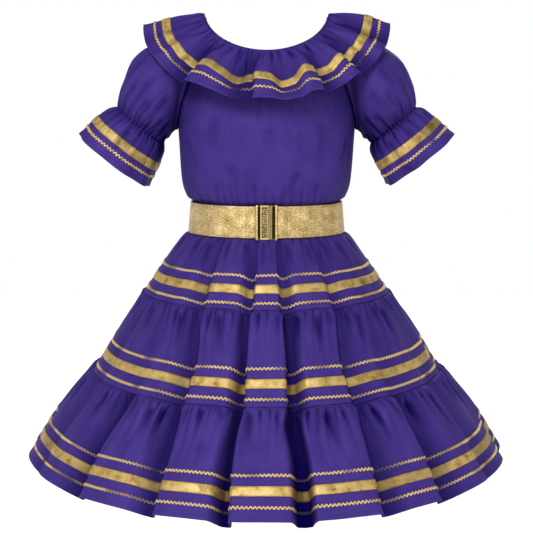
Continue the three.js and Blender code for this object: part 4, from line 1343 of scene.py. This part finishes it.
def clasp_plate(name, node, side, embossed):
    """Half of the clasp: its face, its slot between two rails and its raised end bar.
    Its back lies at y = 0 and its front faces -y."""
    body = bmesh.new()

    def block(from_x, to_x, low_y, high_y, low_z, high_z, radius):
        low_x, high_x = sorted((side * from_x, side * to_x))
        rounded_block(body, (low_x, low_y, low_z), (high_x, high_y, high_z), radius)

    face_from = CLASP_MEETING + SEAM_GAP if side > 0 else -CLASP_MEETING
    half = CLASP_HEIGHT / 2
    front = -CLASP_WALL
    block(face_from, SLOT_FROM, front, 0, -half, half, 0.5)
    block(SLOT_TO, CLASP_HALF_WIDTH, front - 0.8, 0, -half, half, 1.1)
    for low_z in (-half, half - RAIL_HEIGHT):
        block(SLOT_FROM - 0.5, SLOT_TO + 0.5, front + 0.1, -0.1, low_z, low_z + RAIL_HEIGHT, 0.6)
    if embossed:
        for low_z in (-half + 1, half - 3.6):
            block(face_from - 0.2, SLOT_FROM, front - 0.5, front + 0.5, low_z, low_z + 2.6, 0.4)
        block(face_from, face_from + 1.6, front - 0.6, front + 0.5, -half + 1, half - 1, 0.4)
        block(SLOT_FROM - 1.8, SLOT_FROM, front - 0.6, front + 0.5, -half + 1, half - 1, 0.4)
        rng = np.random.default_rng(820)
        for z in np.arange(-half + 5, half - 4, KNOB_STEPS[1]):
            for x in np.arange(face_from + 2.8, SLOT_FROM - 2.2, KNOB_STEPS[0]):
                size = rng.uniform(*KNOB_SIZES)
                stray_x, stray_z = (rng.uniform(-KNOB_STRAY, KNOB_STRAY) for _ in range(2))
                centre = (side * (x + stray_x), front, z + stray_z)
                knob = bmesh.ops.create_icosphere(body, subdivisions=2, radius=1)
                for corner in knob["verts"]:
                    sizes = (size, KNOB_HEIGHT, size)
                    corner.co = [c + v * s for c, v, s in zip(centre, corner.co, sizes)]
    else:
        for x in (face_from + 1.2, face_from + 3.4):
            block(x, x + 1.2, front - 0.45, front + 0.5, -half + 1.5, half - 1.5, 0.4)
    tilt = -math.atan2(BELT_BOTTOM[1] - BELT_TOP[1], BELT_HEIGHT)
    half_width = (BELT_TOP[0] + BELT_BOTTOM[0]) / 2
    half_depth = (BELT_TOP[1] + BELT_BOTTOM[1]) / 2
    # Painted shade: the ground between the raised parts is darkened, and what stands forward keeps the
    # bright gold
    painted_shade = [float(1 - smooth((front - corner.co.y + 0.1) / 0.7)) for corner in body.verts]
    back = -half_depth * math.sqrt(1 - (SLOT_TO / half_width) ** 2) - 2 * SEAM_GAP
    for corner in body.verts:
        x, y, z = corner.co
        turned_y = y * math.cos(tilt) - z * math.sin(tilt)
        turned_z = y * math.sin(tilt) + z * math.cos(tilt)
        corner.co = (x * METRE, (turned_y + back) * METRE, turned_z * METRE)
    bmesh.ops.recalc_face_normals(body, faces=body.faces)
    mesh = bpy.data.meshes.new(name)
    body.to_mesh(mesh)
    body.free()
    make_piece(name, node, "clasp_metal", mesh, painted_shade)


# Stage and light

FLOOR_RADIUS = 5.2
FLOOR_HEIGHT = -1.02
OUTFIT_MIDDLE = (0, 0, -0.06)


def make_floor():
    bpy.ops.mesh.primitive_circle_add(
        vertices=128, radius=FLOOR_RADIUS, fill_type="NGON", location=(0, 0, FLOOR_HEIGHT)
    )
    floor = bpy.context.object
    floor.name = "stage.floor"
    made = Finish("pale_floor")
    grain = made.noise(made.object_place, 3.0)
    colour = made.ramp(grain, (0.3, (0.93, 0.93, 0.93)), (0.7, (0.96, 0.96, 0.96)))
    floor.data.materials.append(made.shade({"Base Color": colour, "Roughness": 0.9}))


def add_light(name, place, aim, size, watts, spread):
    data = bpy.data.lights.new(name, "AREA")
    data.shape = "SQUARE"
    data.size = size
    data.energy = watts
    data.spread = math.radians(spread)
    light = bpy.data.objects.new(name, data)
    light.location = place
    towards = np.array(aim) - np.array(place)
    flat = math.hypot(towards[0], towards[1])
    light.rotation_euler = (math.atan2(flat, -towards[2]), 0, math.atan2(-towards[0], towards[1]))
    bpy.context.scene.collection.objects.link(light)


def make_lights():
    add_light("key", (-0.9, -2.6, 2.2), OUTFIT_MIDDLE, 1.3, 120, 180)
    add_light("fill", (1.5, -2.8, 1.2), OUTFIT_MIDDLE, 1.3, 22, 180)
    add_light("back", (0.8, 3.2, 1.6), OUTFIT_MIDDLE, 1.6, 45, 180)
    for name, x, y in (("front", 0, -4.2), ("back", 0, 4.2), ("right", -4.2, 0), ("left", 4.2, 0)):
        add_light(f"floor_{name}", (x, y, 2.4), (x, y, -1.0), 3.6, 100, 105)


def make_world():
    """White near the horizon and dimmer above"""
    world = bpy.data.worlds.new("studio")
    world.use_nodes = True
    sky = Nodes(world.node_tree)
    direction = sky.add("TexCoord", {}).outputs["Generated"]
    height = sky.add("SeparateXYZ", {0: direction}).outputs[2]
    above = sky.math("SMOOTH_MAX", sky.minus(height, 0.12), 0.0, 0.05)
    level = sky.math("MAXIMUM", sky.minus(1.0, sky.times(above, 6.0)), 0.2)
    background = world.node_tree.nodes["Background"]
    sky.give(background.inputs[0], (1, 1, 1))
    sky.give(background.inputs[1], level)
    bpy.context.scene.world = world


make_bodice()
make_waistband()
make_casing()
make_collar()
make_sleeves()
make_skirt()
make_belt()
clasp_plate("clasp.wide", "clasp_right", -1, True)
clasp_plate("clasp.narrow", "clasp_left", 1, False)
make_floor()
make_lights()
make_world()
